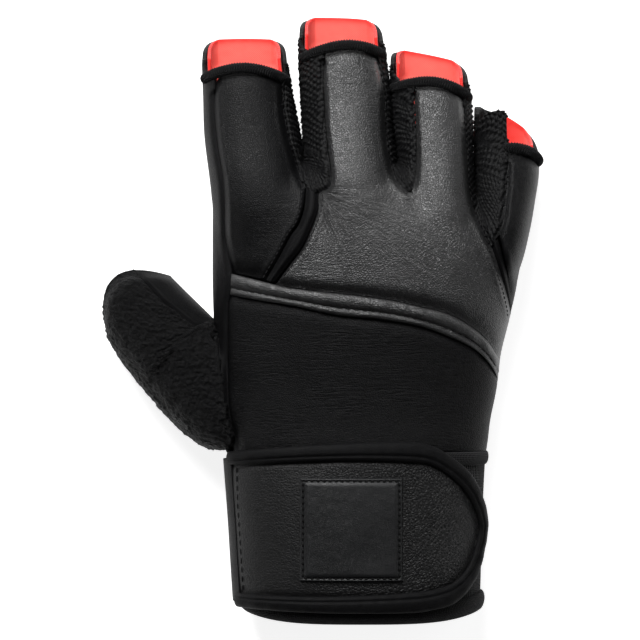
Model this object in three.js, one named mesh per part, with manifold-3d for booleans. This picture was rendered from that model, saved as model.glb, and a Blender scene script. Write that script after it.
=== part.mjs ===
// A half-finger weightlifting glove for the right hand, lying palm down.
// +Y runs to the fingertips, -X is the thumb side and +Z is the back of the hand.
import * as THREE from "three";
import { mergeVertices } from "three/addons/utils/BufferGeometryUtils.js";
import Module from "manifold-3d";

const wasm = await Module();
wasm.setup();

// Driving dimensions, millimetres.
const PALM_WIDTH = 100;
const HAND_DEPTH = 41;
const WRIST_DEPTH = 42;
const LEATHER = 1.6;
const LINING = 1;
const LINING_LENGTH = 16;
const BINDING_WIDTH = 2.4;
const BINDING_RAISE = 0.8;
const BAND_RAISE = 1.1;
const CUFF_WALL = 2.6;
const CUFF_BINDING = 3;
const STRAP = 2.4;
const STRAP_DROP = STRAP + 0.3;
const PATCH = 1.4;
const PATCH_SIDE = 34;
const GAP = 0.3;
const PALM_RISE = 7.5;

// Hollows run this far past a rim, so that every finger is open.
const OVERRUN = 24;

// How round each section is: 2 is an ellipse, more is squarer.
const UPPER_ROUND = 2.3;
const LOWER_ROUND = 3.4;
const WIDEST_LEVEL = 0.42;
const FLOOR_SINK = 1.2;

// Sections along the hand. s, left and right are shares of PALM_WIDTH;
// top is a share of HAND_DEPTH; floor is a share of STRAP_DROP.
const HAND = [
  { s: -0.402, left: -0.41, right: 0.438, top: 1.0, floor: 1 },
  { s: -0.37, left: -0.414, right: 0.443, top: 1.0, floor: 1 },
  { s: -0.3, left: -0.43, right: 0.452, top: 0.985, floor: 0.25 },
  { s: -0.2, left: -0.447, right: 0.472, top: 0.98, floor: 0 },
  { s: -0.08, left: -0.463, right: 0.488, top: 0.99, floor: 0 },
  { s: 0.06, left: -0.473, right: 0.522, top: 1.0, floor: 0 },
  { s: 0.18, left: -0.476, right: 0.545, top: 1.0, floor: 0 },
  { s: 0.27, left: -0.476, right: 0.55, top: 0.99, floor: 0 },
  { s: 0.34, left: -0.476, right: 0.52, top: 0.965, floor: 0 },
  { s: 0.41, left: -0.476, right: 0.43, top: 0.92, floor: 0 },
  { s: 0.47, left: -0.477, right: 0.405, top: 0.85, floor: 0 },
  { s: 0.53, left: -0.475, right: 0.4, top: 0.68, floor: 0 },
  { s: 0.585, left: -0.47, right: 0.395, top: 0.36, floor: 0 },
];

const WRIST = [
  { s: -0.98, left: -0.372, right: 0.418, top: 1.0, floor: 1 },
  { s: -0.86, left: -0.381, right: 0.421, top: 1.0, floor: 1 },
  { s: -0.62, left: -0.396, right: 0.428, top: 0.995, floor: 1 },
  { s: -0.45, left: -0.409, right: 0.436, top: 0.982, floor: 1 },
  { s: -0.36, left: -0.415, right: 0.444, top: 0.976, floor: 1 },
];

// The fingers, each from inside the hand to past its tip.
const INDEX = [
  { s: 0.2, left: -0.45, right: -0.08, top: 0.8 },
  { s: 0.38, left: -0.473, right: -0.125, top: 0.9 },
  { s: 0.5, left: -0.486, right: -0.155, top: 0.87 },
  { s: 0.65, left: -0.505, right: -0.183, top: 0.75 },
  { s: 0.78, left: -0.51, right: -0.208, top: 0.66 },
  { s: 0.9, left: -0.514, right: -0.228, top: 0.6 },
  { s: 1.04, left: -0.51, right: -0.235, top: 0.56 },
];
const MIDDLE = [
  { s: 0.2, left: -0.14, right: 0.2, top: 0.82 },
  { s: 0.38, left: -0.165, right: 0.178, top: 0.94 },
  { s: 0.5, left: -0.168, right: 0.15, top: 0.9 },
  { s: 0.65, left: -0.174, right: 0.129, top: 0.79 },
  { s: 0.8, left: -0.182, right: 0.117, top: 0.69 },
  { s: 0.95, left: -0.187, right: 0.098, top: 0.62 },
  { s: 1.1, left: -0.184, right: 0.088, top: 0.58 },
];
const RING = [
  { s: 0.18, left: 0.16, right: 0.46, top: 0.76 },
  { s: 0.36, left: 0.16, right: 0.42, top: 0.9 },
  { s: 0.46, left: 0.152, right: 0.4, top: 0.87 },
  { s: 0.56, left: 0.142, right: 0.396, top: 0.79 },
  { s: 0.7, left: 0.124, right: 0.394, top: 0.69 },
  { s: 0.84, left: 0.12, right: 0.382, top: 0.61 },
  { s: 0.98, left: 0.122, right: 0.378, top: 0.57 },
];
const PINKY = [
  { s: 0.08, left: 0.38, right: 0.5, top: 0.6 },
  { s: 0.22, left: 0.4, right: 0.557, top: 0.8 },
  { s: 0.33, left: 0.402, right: 0.585, top: 0.82 },
  { s: 0.42, left: 0.4, right: 0.602, top: 0.76 },
  { s: 0.54, left: 0.4, right: 0.62, top: 0.66 },
  { s: 0.64, left: 0.4, right: 0.617, top: 0.58 },
  { s: 0.8, left: 0.405, right: 0.615, top: 0.54 },
];
// The thumb's own direction in plan; left and right lie across it.
const THUMB_DIRECTION = new THREE.Vector2(-0.66, 0.751).normalize();
const THUMB = [
  { s: -0.04, left: -0.575, right: -0.36, top: 0.6 },
  { s: 0.04, left: -0.637, right: -0.34, top: 0.68 },
  { s: 0.16, left: -0.66, right: -0.333, top: 0.7 },
  { s: 0.32, left: -0.661, right: -0.331, top: 0.7 },
  { s: 0.48, left: -0.648, right: -0.342, top: 0.67 },
  { s: 0.6, left: -0.625, right: -0.35, top: 0.63 },
  { s: 0.74, left: -0.6, right: -0.36, top: 0.6 },
];

// Open rims. s is the middle of the rim over the back, reach is how much farther the palm
// side runs and sag is how far the corners fall back, all shares of PALM_WIDTH; tilt is a
// slope across the finger and roll turns the rim about the finger, degrees. hold is how much
// of the sag is kept on the palm side.
const RIMS = {
  index: { s: 0.87, reach: 0.1, sag: 0.075, tilt: 0, roll: 0, hold: 0 },
  middle: { s: 0.953, reach: 0.08, sag: 0.07, tilt: 0.03, roll: 8, hold: 0 },
  ring: { s: 0.838, reach: 0.085, sag: 0.055, tilt: -0.14, roll: 8, hold: 0 },
  pinky: { s: 0.615, reach: 0.1, sag: 0.06, tilt: -0.3, roll: 25, hold: 0 },
  thumb: { s: 0.635, reach: 0, sag: 0.1, tilt: -0.03, roll: 0, hold: 1 },
};

// Seams in plan, shares of PALM_WIDTH.
const SEAMS = {
  indexLeft: [
    [-0.47, 1.2], [-0.47, 0.767], [-0.454, 0.587], [-0.438, 0.497], [-0.43, 0.36],
    [-0.427, 0.27], [-0.409, 0.193], [-0.411, 0.15],
  ],
  lowerLeft: [
    [-0.411, 0.15], [-0.423, 0.03], [-0.421, -0.2], [-0.412, -0.29], [-0.385, -0.37], [-0.37, -0.45],
  ],
  indexRight: [
    [-0.242, 1.2], [-0.242, 0.801], [-0.22, 0.632], [-0.197, 0.551], [-0.163, 0.47],
  ],
  stripIndexLeft: [
    [-0.163, 0.47], [-0.169, 0.403], [-0.186, 0.348], [-0.213, 0.31], [-0.247, 0.247],
    [-0.291, 0.197], [-0.33, 0.15],
  ],
  middleLeft: [
    [-0.108, 1.3], [-0.108, 0.882], [-0.1, 0.677], [-0.09, 0.587], [-0.08, 0.5], [-0.121, 0.449],
  ],
  stripIndexRight: [
    [-0.121, 0.449], [-0.125, 0.393], [-0.149, 0.33], [-0.178, 0.27], [-0.217, 0.221],
    [-0.257, 0.182], [-0.3, 0.13],
  ],
  webIndex: [[-0.163, 0.47], [-0.145, 0.452], [-0.121, 0.449]],
  middleRight: [
    [0.075, 1.3], [0.075, 0.887], [0.097, 0.788], [0.102, 0.651], [0.117, 0.553], [0.14, 0.49],
    [0.174, 0.455],
  ],
  ringLeft: [
    [0.195, 1.3], [0.195, 0.778], [0.202, 0.608], [0.199, 0.523], [0.187, 0.463], [0.174, 0.455],
  ],
  ringRight: [
    [0.361, 1.3], [0.361, 0.774], [0.372, 0.566], [0.385, 0.415], [0.407, 0.36], [0.449, 0.275],
  ],
  stripPinkyLeft: [
    [0.449, 0.275], [0.466, 0.228], [0.483, 0.177], [0.5, 0.127], [0.513, 0.079], [0.54, 0.02],
  ],
  pinkyLeft: [
    [0.51, 1.3], [0.506, 0.549], [0.501, 0.46], [0.489, 0.372], [0.468, 0.3],
  ],
  stripPinkyRight: [
    [0.468, 0.3], [0.491, 0.223], [0.504, 0.177], [0.513, 0.134], [0.521, 0.092], [0.56, 0.02],
  ],
  webPinky: [[0.449, 0.275], [0.468, 0.3]],
  bandTop: [
    [-0.412, 0.19], [-0.315, 0.163], [-0.208, 0.138], [-0.085, 0.123], [0.037, 0.109],
    [0.135, 0.094], [0.217, 0.075], [0.303, 0.053], [0.381, 0.011], [0.436, -0.036],
    [0.481, -0.103], [0.53, -0.2],
  ],
  bandBottom: [
    [-0.414, 0.114], [-0.33, 0.099], [-0.208, 0.079], [-0.061, 0.048], [0.086, 0.033],
    [0.21, 0.011], [0.296, -0.019], [0.381, -0.057], [0.432, -0.099], [0.466, -0.15],
    [0.5, -0.26],
  ],
  thumbRoot: [
    [-0.485, 0.16], [-0.475, 0.05], [-0.457, -0.073], [-0.445, -0.159], [-0.432, -0.21],
    [-0.432, -0.287], [-0.405, -0.36], [-0.402, -0.46],
  ],
  thumbEdge: [
    [-0.78, 0.24], [-0.713, 0.169], [-0.645, 0.097], [-0.602, 0.063], [-0.547, 0.02],
    [-0.513, 0.005], [-0.46, 0.005],
  ],
};

// The strap in plan, shares of PALM_WIDTH: its outer edge and the inner line of its binding.
const STRAP_OUTER = [
  [-0.415, -0.402], [-0.347, -0.395], [-0.177, -0.382], [0.028, -0.375], [0.198, -0.378],
  [0.266, -0.392], [0.327, -0.429], [0.388, -0.483], [0.426, -0.552], [0.446, -0.627],
  [0.436, -0.708], [0.409, -0.803], [0.347, -0.878], [0.266, -0.905], [0.163, -0.916],
  [-0.109, -0.922], [-0.387, -0.916],
];
const STRAP_INNER = [
  [-0.415, -0.446], [-0.177, -0.43], [0.028, -0.423], [0.19, -0.426], [0.245, -0.438],
  [0.3, -0.472], [0.348, -0.52], [0.38, -0.58], [0.398, -0.653], [0.388, -0.72],
  [0.36, -0.79], [0.31, -0.84], [0.25, -0.86], [0.16, -0.87], [-0.109, -0.875], [-0.39, -0.87],
];
const STRAP_SEAM = [
  [-0.413, -0.36], [-0.413, -0.45], [-0.409, -0.57], [-0.398, -0.742], [-0.387, -0.871],
  [-0.383, -0.96],
];
const STRAP_START = 0.3;
const STRAP_FRONT = -0.426;
const STRAP_BACK = -0.9;
const PATCH_CENTRE = [-0.015, -0.653];

// Ends of the cuff's pieces along the arm, shares of PALM_WIDTH.
const CUFF = { front: -0.406, frontEdge: -0.45, backEdge: -0.9, back: -0.965 };

const FINGERS = { index: INDEX, middle: MIDDLE, ring: RING, pinky: PINKY };
const FORWARD = new THREE.Vector2(0, 1);

// A table's column at s, run smoothly through its rows.
function column(rows, key, s) {
  let i = 0;
  while (i < rows.length - 2 && s > rows[i + 1].s) i += 1;
  const a = rows[i];
  const b = rows[i + 1];
  const before = rows[Math.max(i - 1, 0)];
  const after = rows[Math.min(i + 2, rows.length - 1)];
  const span = b.s - a.s;
  const t = (s - a.s) / span;
  const slopeA = ((b[key] - before[key]) / (b.s - before.s)) * span;
  const slopeB = ((after[key] - a[key]) / (after.s - a.s)) * span;
  const t2 = t * t;
  const t3 = t2 * t;
  const start = (2 * t3 - 3 * t2 + 1) * a[key] + (t3 - 2 * t2 + t) * slopeA;
  const end = (3 * t2 - 2 * t3) * b[key] + (t3 - t2) * slopeB;
  return start + end;
}

const power = (value, exponent) => Math.sign(value) * Math.abs(value) ** exponent;

// One closed section at s, moved in by inset: points across the finger and up.
function section(rows, s, inset, depth, sides) {
  const left = column(rows, "left", s) * PALM_WIDTH;
  const right = column(rows, "right", s) * PALM_WIDTH;
  const top = column(rows, "top", s) * depth;
  const floor = rows[0].floor === undefined ? 0 : column(rows, "floor", s) * STRAP_DROP;
  const middle = (left + right) / 2;
  const half = (right - left) / 2;
  const level = floor + (top - floor) * WIDEST_LEVEL;
  const at = (turn) => {
    const up = Math.sin(turn) >= 0;
    const round = 2 / (up ? UPPER_ROUND : LOWER_ROUND);
    const rise = up ? top - level : level - floor + FLOOR_SINK;
    return [
      middle + half * power(Math.cos(turn), round),
      level + rise * power(Math.sin(turn), round),
    ];
  };
  const ring = [];
  for (let k = 0; k < sides; k += 1) {
    const turn = (2 * Math.PI * (k + 0.5)) / sides;
    const point = at(turn);
    const ahead = at(turn + 0.02);
    const behind = at(turn - 0.02);
    const along = new THREE.Vector2(ahead[0] - behind[0], ahead[1] - behind[1]).normalize();
    const low = Math.max(floor + inset, 0);
    ring.push([point[0] - along.y * inset, Math.max(point[1] + along.x * inset, low)]);
  }
  return ring;
}

// A closed body from rings of points, as a solid.
function solidFromRings(rings) {
  const positions = [];
  const indices = [];
  const sides = rings[0].length;
  rings.flat().forEach((p) => positions.push(p.x, p.y, p.z));
  for (let i = 0; i + 1 < rings.length; i += 1) {
    for (let k = 0; k < sides; k += 1) {
      const a = i * sides + k;
      const b = i * sides + ((k + 1) % sides);
      indices.push(a, a + sides, b, b, a + sides, b + sides);
    }
  }
  [rings[0], rings[rings.length - 1]].forEach((ring, end) => {
    const centre = ring.reduce((sum, p) => sum.add(p), new THREE.Vector3());
    centre.divideScalar(sides);
    const hub = positions.length / 3;
    positions.push(centre.x, centre.y, centre.z);
    const base = end * (rings.length - 1) * sides;
    for (let k = 0; k < sides; k += 1) {
      const a = base + k;
      const b = base + ((k + 1) % sides);
      if (end) indices.push(hub, b, a);
      else indices.push(hub, a, b);
    }
  });
  const geometry = new THREE.BufferGeometry();
  geometry.setAttribute("position", new THREE.Float32BufferAttribute(positions, 3));
  geometry.setIndex(indices);
  return solidFromGeometry(geometry);
}

function solidFromGeometry(geometry) {
  const bare = geometry.clone();
  bare.deleteAttribute("normal");
  bare.deleteAttribute("uv");
  const merged = mergeVertices(bare, 1e-4);
  return new wasm.Manifold(
    new wasm.Mesh({
      numProp: 3,
      vertProperties: merged.attributes.position.array,
      triVerts: new Uint32Array(merged.index.array),
    }),
  );
}

// A tube's body between two stations, moved in by inset.
function loft(rows, inset, { from, to, steps, sides, depth = HAND_DEPTH, along = FORWARD }) {
  const rings = [];
  for (let i = 0; i <= steps; i += 1) {
    const s = from + ((to - from) * i) / steps;
    const ring = section(rows, s, inset, depth, sides).map(([across, up]) => {
      const forward = s * PALM_WIDTH;
      return new THREE.Vector3(
        along.x * forward + along.y * across,
        along.y * forward - along.x * across,
        up,
      );
    });
    rings.push(ring);
  }
  return solidFromRings(rings);
}

// An upright prism over a closed outline given in shares of PALM_WIDTH.
function prism(outline, low = -5, high = 80) {
  const shape = new THREE.Shape(
    outline.map(([x, y]) => new THREE.Vector2(x * PALM_WIDTH, y * PALM_WIDTH)),
  );
  const geometry = new THREE.ExtrudeGeometry(shape, { depth: high - low, bevelEnabled: false });
  geometry.translate(0, 0, low);
  return solidFromGeometry(geometry);
}

const curveOf = (points) => new THREE.SplineCurve(points.map(([x, y]) => new THREE.Vector2(x, y)));

// A seam as points, smoothed; back true gives them in the other order.
function seam(name, back = false) {
  const raw = SEAMS[name];
  const points = curveOf(raw).getPoints(raw.length);
  const pairs = points.map((p) => [p.x, p.y]);
  return back ? pairs.reverse() : pairs;
}

// The narrow gap that parts two pieces along a seam.
function slit(points, low = -5, high = 80) {
  const half = GAP / 2 / PALM_WIDTH;
  const sides = [[], []];
  points.forEach((p, i) => {
    const before = points[Math.max(i - 1, 0)];
    const after = points[Math.min(i + 1, points.length - 1)];
    const across = new THREE.Vector2(before[1] - after[1], after[0] - before[0]).normalize();
    sides[0].push([p[0] + across.x * half, p[1] + across.y * half]);
    sides[1].unshift([p[0] - across.x * half, p[1] - across.y * half]);
  });
  return prism([...sides[0], ...sides[1]], low, high);
}

// Everything beyond a rim: the rim's surface is a sheet across the finger and up.
function beyond(rows, rim, shift, along = FORWARD) {
  const columns = 6;
  const levels = 4;
  const reachFar = 60;
  const left = (column(rows, "left", rim.s) - 0.06) * PALM_WIDTH;
  const right = (column(rows, "right", rim.s) + 0.06) * PALM_WIDTH;
  const top = column(rows, "top", rim.s) * HAND_DEPTH;
  const middle = (left + right) / 2;
  const half = (right - left) / 2 - 0.06 * PALM_WIDTH;
  const roll = THREE.MathUtils.degToRad(rim.roll);
  const rings = [];
  for (let j = 0; j <= levels; j += 1) {
    const up = -4 + ((top + 8) * j) / levels;
    const near = [];
    const far = [];
    for (let i = 0; i <= columns; i += 1) {
      const across = left + ((right - left) * i) / columns;
      const dx = across - middle;
      const dz = up - top / 2;
      const x = (dx * Math.cos(roll) - dz * Math.sin(roll)) / half;
      const z = (dx * Math.sin(roll) + dz * Math.cos(roll)) / top + 0.5;
      const drop = THREE.MathUtils.clamp(1 - z, 0, 1);
      const bow = rim.sag * Math.min(x * x, 1.3) * (1 - drop * (1 - rim.hold));
      const share = rim.s + rim.reach * drop - bow + (rim.tilt * dx) / PALM_WIDTH;
      const forward = share * PALM_WIDTH + shift;
      const place = (distance) =>
        new THREE.Vector3(
          along.x * distance + along.y * across,
          along.y * distance - along.x * across,
          up,
        );
      near.push(place(forward));
      far.unshift(place(forward + reachFar));
    }
    rings.push([...near, ...far].reverse());
  }
  return solidFromRings(rings);
}

const join = (solids) => solids.reduce((sum, solid) => sum.add(solid));
const cut = (solid, tools) => tools.reduce((left, tool) => left.subtract(tool), solid);

const FINGER_SIDES = 16;
const HAND_RUN = { from: -0.402, to: 0.585, steps: 11, sides: 26 };
const WRIST_RUN = { from: -0.98, to: -0.36, steps: 3, sides: 24, depth: WRIST_DEPTH };
const fingerRun = (rows, extra = 0) => ({
  from: rows[0].s,
  to: rows[rows.length - 1].s + extra,
  steps: 5,
  sides: FINGER_SIDES,
});
const THUMB_RUN = { from: -0.04, to: 0.74, steps: 6, sides: 16, along: THUMB_DIRECTION };

// The leather's outside and the hollow within it.
function whole(inset, tips) {
  const solids = [loft(HAND, inset, HAND_RUN)];
  Object.entries(FINGERS).forEach(([name, rows]) => {
    const finger = loft(rows, inset, fingerRun(rows, tips === null ? 0.1 : 0));
    solids.push(tips === null ? finger : cut(finger, [beyond(rows, RIMS[name], tips)]));
  });
  const thumb = loft(THUMB, inset, { ...THUMB_RUN, to: tips === null ? 0.9 : 0.74 });
  const thumbCut = beyond(THUMB, RIMS.thumb, 0, THUMB_DIRECTION);
  solids.push(tips === null ? thumb : cut(thumb, [thumbCut]));
  return join(solids);
}

const HAND_END = -0.402;
const wide = (y0, y1, low, high) =>
  prism([[-1.2, y0], [1.2, y0], [1.2, y1], [-1.2, y1]], low, high);
const hollow = whole(LEATHER, null);
const above = wide(HAND_END, 1.6, PALM_RISE + GAP, 80);
const below = wide(HAND_END, 1.6, -5, PALM_RISE);

// Plan outlines of the upper pieces. Those beside the band run on beneath it.
const UNDER_BAND = [
  [-0.08, 0.085], [0.1, 0.07], [0.3, 0.02], [0.4, -0.05], [0.45, -0.11], [0.5, -0.22],
];
const OUTSIDE_THUMB = [[-0.5, 0.2], [-0.56, 0.3], [-0.66, 0.45]];
const OUTLINES = {
  index_panel: [
    ...seam("indexLeft"), ...seam("stripIndexLeft", true), ...seam("indexRight", true),
  ],
  index_knuckle_strip: [
    ...seam("stripIndexLeft"), ...seam("stripIndexRight", true), ...seam("webIndex", true),
  ],
  back_panel: [
    ...seam("middleLeft"), ...seam("stripIndexRight"), ...UNDER_BAND, [0.7, -0.22], [0.7, 0.02],
    ...seam("stripPinkyLeft", true), ...seam("ringRight", true), ...seam("ringLeft"),
    ...seam("middleRight", true),
  ],
  pinky_knuckle_strip: [
    ...seam("stripPinkyLeft"), ...seam("stripPinkyRight", true), ...seam("webPinky", true),
  ],
  pinky_panel: [...seam("pinkyLeft"), ...seam("stripPinkyRight"), [0.8, 0.02], [0.8, 1.3]],
  gusset_index_middle: [
    ...seam("indexRight"), ...seam("webIndex"), ...seam("middleLeft", true),
  ],
  gusset_middle_ring: [...seam("middleRight"), ...seam("ringLeft", true)],
  gusset_ring_pinky: [
    ...seam("ringRight"), ...seam("webPinky"), ...seam("pinkyLeft", true),
  ],
  thumb_side_strip: [
    ...seam("indexLeft"), ...seam("lowerLeft"), ...seam("thumbRoot", true), ...OUTSIDE_THUMB,
    [-0.66, 1.2],
  ],
  lower_back_panel: [
    ...seam("lowerLeft"), [0.7, -0.47], [0.7, -0.22], ...[...UNDER_BAND].reverse(),
    [-0.3, 0.11],
  ],
};
const THUMB_OUTLINE = [
  ...seam("thumbRoot"), [-1.1, -0.47], [-1.1, 0.45], ...[...OUTSIDE_THUMB].reverse(),
];
const BAND_OUTLINE = [...seam("bandTop"), ...seam("bandBottom", true)];

const MATERIALS = {
  leather: { color: 0x1c1c1d, roughness: 0.5, metalness: 0 },
  mesh: { color: 0x101011, roughness: 0.85, metalness: 0 },
  terry: { color: 0x121213, roughness: 0.95, metalness: 0 },
  smooth: { color: 0x161617, roughness: 0.6, metalness: 0 },
  binding: { color: 0x0e0e0f, roughness: 0.75, metalness: 0 },
  red: { color: 0xf0281c, roughness: 0.6, metalness: 0 },
  palm: { color: 0x1a1a1b, roughness: 0.7, metalness: 0 },
  rubber: { color: 0x222223, roughness: 0.55, metalness: 0 },
};

const glove = new THREE.Group();

// Adds a solid to the glove as a named mesh.
function place(name, solid, material) {
  const { vertProperties, triVerts, numProp } = solid.getMesh();
  const geometry = new THREE.BufferGeometry();
  const positions = new Float32Array((vertProperties.length / numProp) * 3);
  for (let i = 0; i < positions.length / 3; i += 1) {
    for (let c = 0; c < 3; c += 1) positions[i * 3 + c] = vertProperties[i * numProp + c];
  }
  geometry.setAttribute("position", new THREE.BufferAttribute(positions, 3));
  geometry.setIndex(new THREE.BufferAttribute(new Uint32Array(triVerts), 1));
  geometry.computeVertexNormals();
  const mesh = new THREE.Mesh(geometry, new THREE.MeshStandardMaterial(MATERIALS[material]));
  mesh.name = name;
  glove.add(mesh);
}

// Upper leather, mesh and towelling, parted along the seams.
const upperShell = cut(whole(0, -BINDING_WIDTH - GAP), [hollow]).intersect(above);
const SIDE_LEVEL = 14;
const slits = Object.fromEntries(Object.keys(SEAMS).map((name) => [name, slit(seam(name))]));
slits.lowerLeft = slit(seam("lowerLeft"), SIDE_LEVEL, 80);
const bandRegion = prism(BAND_OUTLINE);
const { thumbEdge, ...panelSlits } = slits;
const panels = cut(upperShell, [...Object.values(panelSlits), bandRegion]);
const finishes = {
  gusset_index_middle: "mesh",
  gusset_middle_ring: "mesh",
  gusset_ring_pinky: "mesh",
};
const thumbRegion = prism(THUMB_OUTLINE);
const lowerSide = prism([[-0.5, -0.47], [-0.3, -0.47], [-0.3, 0.1], [-0.5, 0.1]], -5, SIDE_LEVEL);
Object.entries(OUTLINES).forEach(([name, outline]) => {
  let region = prism(outline);
  if (name === "thumb_side_strip") region = cut(region.add(lowerSide), [thumbRegion]);
  if (name === "lower_back_panel") region = cut(region, [lowerSide]);
  place(name, panels.intersect(region), finishes[name] ?? "leather");
});

const raised = loft(HAND, -BAND_RAISE, HAND_RUN);
const bandSlits = [
  slits.bandTop, slits.bandBottom, slits.indexLeft, slits.lowerLeft,
  prism(OUTLINES.thumb_side_strip),
];
const bandShell = cut(raised, [hollow]).intersect(above).intersect(bandRegion);
place("back_band", cut(bandShell, bandSlits), "leather");

// The thumb, and the palm under it all.
const smoothRegion = prism([
  ...seam("thumbEdge"), [-0.4, 0.005], [-0.4, 0.2], ...OUTSIDE_THUMB, [-0.78, 0.45],
]);
const thumbUpper = panels.intersect(thumbRegion);
place("thumb_terry", cut(thumbUpper, [smoothRegion, thumbEdge]), "terry");
place("thumb_leather", cut(thumbUpper, [thumbEdge]).intersect(smoothRegion), "smooth");
const lowerShell = cut(cut(whole(0, 0), [hollow]).intersect(below), [slits.thumbRoot]);
place("thumb_palm", lowerShell.intersect(thumbRegion), "palm");
place("palm_panel", cut(lowerShell, [thumbRegion]), "palm");

// Bindings and red linings at the fingertips.
Object.entries(FINGERS).forEach(([name, rows]) => {
  const rim = RIMS[name];
  const neighbours = Object.values(FINGERS).filter((other) => other !== rows);
  const roll = cut(loft(rows, -BINDING_RAISE, fingerRun(rows)), [
    loft(rows, LEATHER, fingerRun(rows, 0.1)),
    beyond(rows, rim, 0),
    ...neighbours.map((other) => loft(other, -GAP, fingerRun(other))),
  ]);
  const edge = roll.intersect(beyond(rows, rim, -BINDING_WIDTH)).intersect(above);
  place(`${name}_binding`, edge, "binding");
  const start = rim.s - LINING_LENGTH / PALM_WIDTH;
  const end = rows[rows.length - 1].s;
  const sleeve = (inset, more) =>
    loft(rows, inset, { from: start - more, to: end + more, steps: 2, sides: FINGER_SIDES });
  const lining = cut(sleeve(LEATHER + GAP, 0), [
    sleeve(LEATHER + GAP + LINING, 0.05),
    beyond(rows, rim, -GAP),
  ]);
  place(`${name}_lining`, lining, "red");
});

// The cuff and the strap round it.
const cuffRing = (inner, from, to) =>
  cut(loft(WRIST, 0, WRIST_RUN), [loft(WRIST, inner, { ...WRIST_RUN, from: -1, to: -0.34 })])
    .intersect(wide(from, to, -5, 80));
const gap = GAP / PALM_WIDTH;
place("cuff_base", cuffRing(CUFF_WALL, CUFF.backEdge + gap, CUFF.frontEdge - gap), "binding");
place("cuff_binding_top", cuffRing(CUFF_BINDING, CUFF.frontEdge, CUFF.front), "binding");
place("cuff_binding_bottom", cuffRing(CUFF_BINDING, CUFF.back, CUFF.backEdge), "binding");

const STRAP_LEVEL = 19;
const UNDER_LEVEL = 8;
const layer = (inner, outer) =>
  cut(loft(WRIST, -outer, WRIST_RUN), [loft(WRIST, -inner, { ...WRIST_RUN, from: -1, to: -0.34 })]);
const strap = layer(GAP, STRAP_DROP);
const strapLine = curveOf(STRAP_SEAM).getPoints(12).map((p) => [p.x, p.y]);
const seamSlit = slit(strapLine, STRAP_LEVEL - 1, 80);
const thumbSide = prism([...strapLine, [-0.7, -0.96], [-0.7, -0.36]]);
const strapInner = prism(STRAP_INNER, STRAP_LEVEL, 80);
const innerSlit = slit([...STRAP_INNER, STRAP_INNER[0]], STRAP_LEVEL - 1, 80);
const strapRegion = prism(STRAP_OUTER, STRAP_LEVEL, 80);
place("strap_face", cut(strap.intersect(strapInner), [innerSlit, seamSlit, thumbSide]), "leather");
const rim = cut(strap.intersect(strapRegion), [strapInner, innerSlit, seamSlit, thumbSide]);
place("strap_binding", rim, "binding");
const under = prism(
  [[-0.6, -1], [STRAP_START, -1], [STRAP_START, -0.3], [-0.6, -0.3]],
  -5,
  UNDER_LEVEL,
);
const wrapRun = wide(STRAP_BACK, STRAP_FRONT, -5, 80);
place("strap_wrap", cut(strap.intersect(thumbSide.add(under)).intersect(wrapRun), [seamSlit]), "leather");
const [patchX, patchY] = PATCH_CENTRE;
const half = PATCH_SIDE / 2 / PALM_WIDTH;
const square = prism(
  [
    [patchX - half, patchY - half], [patchX + half, patchY - half],
    [patchX + half, patchY + half], [patchX - half, patchY + half],
  ],
  STRAP_LEVEL,
  80,
);
place("strap_patch", layer(STRAP_DROP + GAP, STRAP_DROP + GAP + PATCH).intersect(square), "rubber");

export default glove;
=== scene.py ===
"""A half-finger weightlifting glove lying palm down, seen from straight above."""

import logging
import math
from dataclasses import dataclass, replace
from enum import Enum
from typing import Callable, Sequence

import bmesh
import bpy
import numpy as np
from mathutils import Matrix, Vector


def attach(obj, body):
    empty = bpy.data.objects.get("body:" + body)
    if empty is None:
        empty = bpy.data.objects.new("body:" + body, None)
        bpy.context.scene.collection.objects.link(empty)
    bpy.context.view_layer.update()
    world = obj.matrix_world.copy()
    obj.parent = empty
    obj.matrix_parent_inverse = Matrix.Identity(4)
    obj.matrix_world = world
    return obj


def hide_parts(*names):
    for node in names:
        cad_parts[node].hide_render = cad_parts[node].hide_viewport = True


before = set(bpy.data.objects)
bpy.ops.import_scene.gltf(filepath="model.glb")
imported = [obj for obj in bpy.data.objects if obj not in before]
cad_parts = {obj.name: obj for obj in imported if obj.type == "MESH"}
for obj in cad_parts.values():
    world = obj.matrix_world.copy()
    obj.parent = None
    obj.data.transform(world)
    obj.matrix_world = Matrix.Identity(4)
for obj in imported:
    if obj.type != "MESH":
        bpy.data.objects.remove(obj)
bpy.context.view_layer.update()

LOG = logging.getLogger("glove")
Points = np.ndarray
Pair = tuple[float, float]

MM = 0.001
PALM_WIDTH = 100.0
HAND_DEPTH = 41.0
WRIST_DEPTH = 42.0
UPPER_ROUND = 2.3
LOWER_ROUND = 3.4
WIDEST = 0.42
FLOOR_SINK = 1.2
STRAP = 2.7


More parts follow.
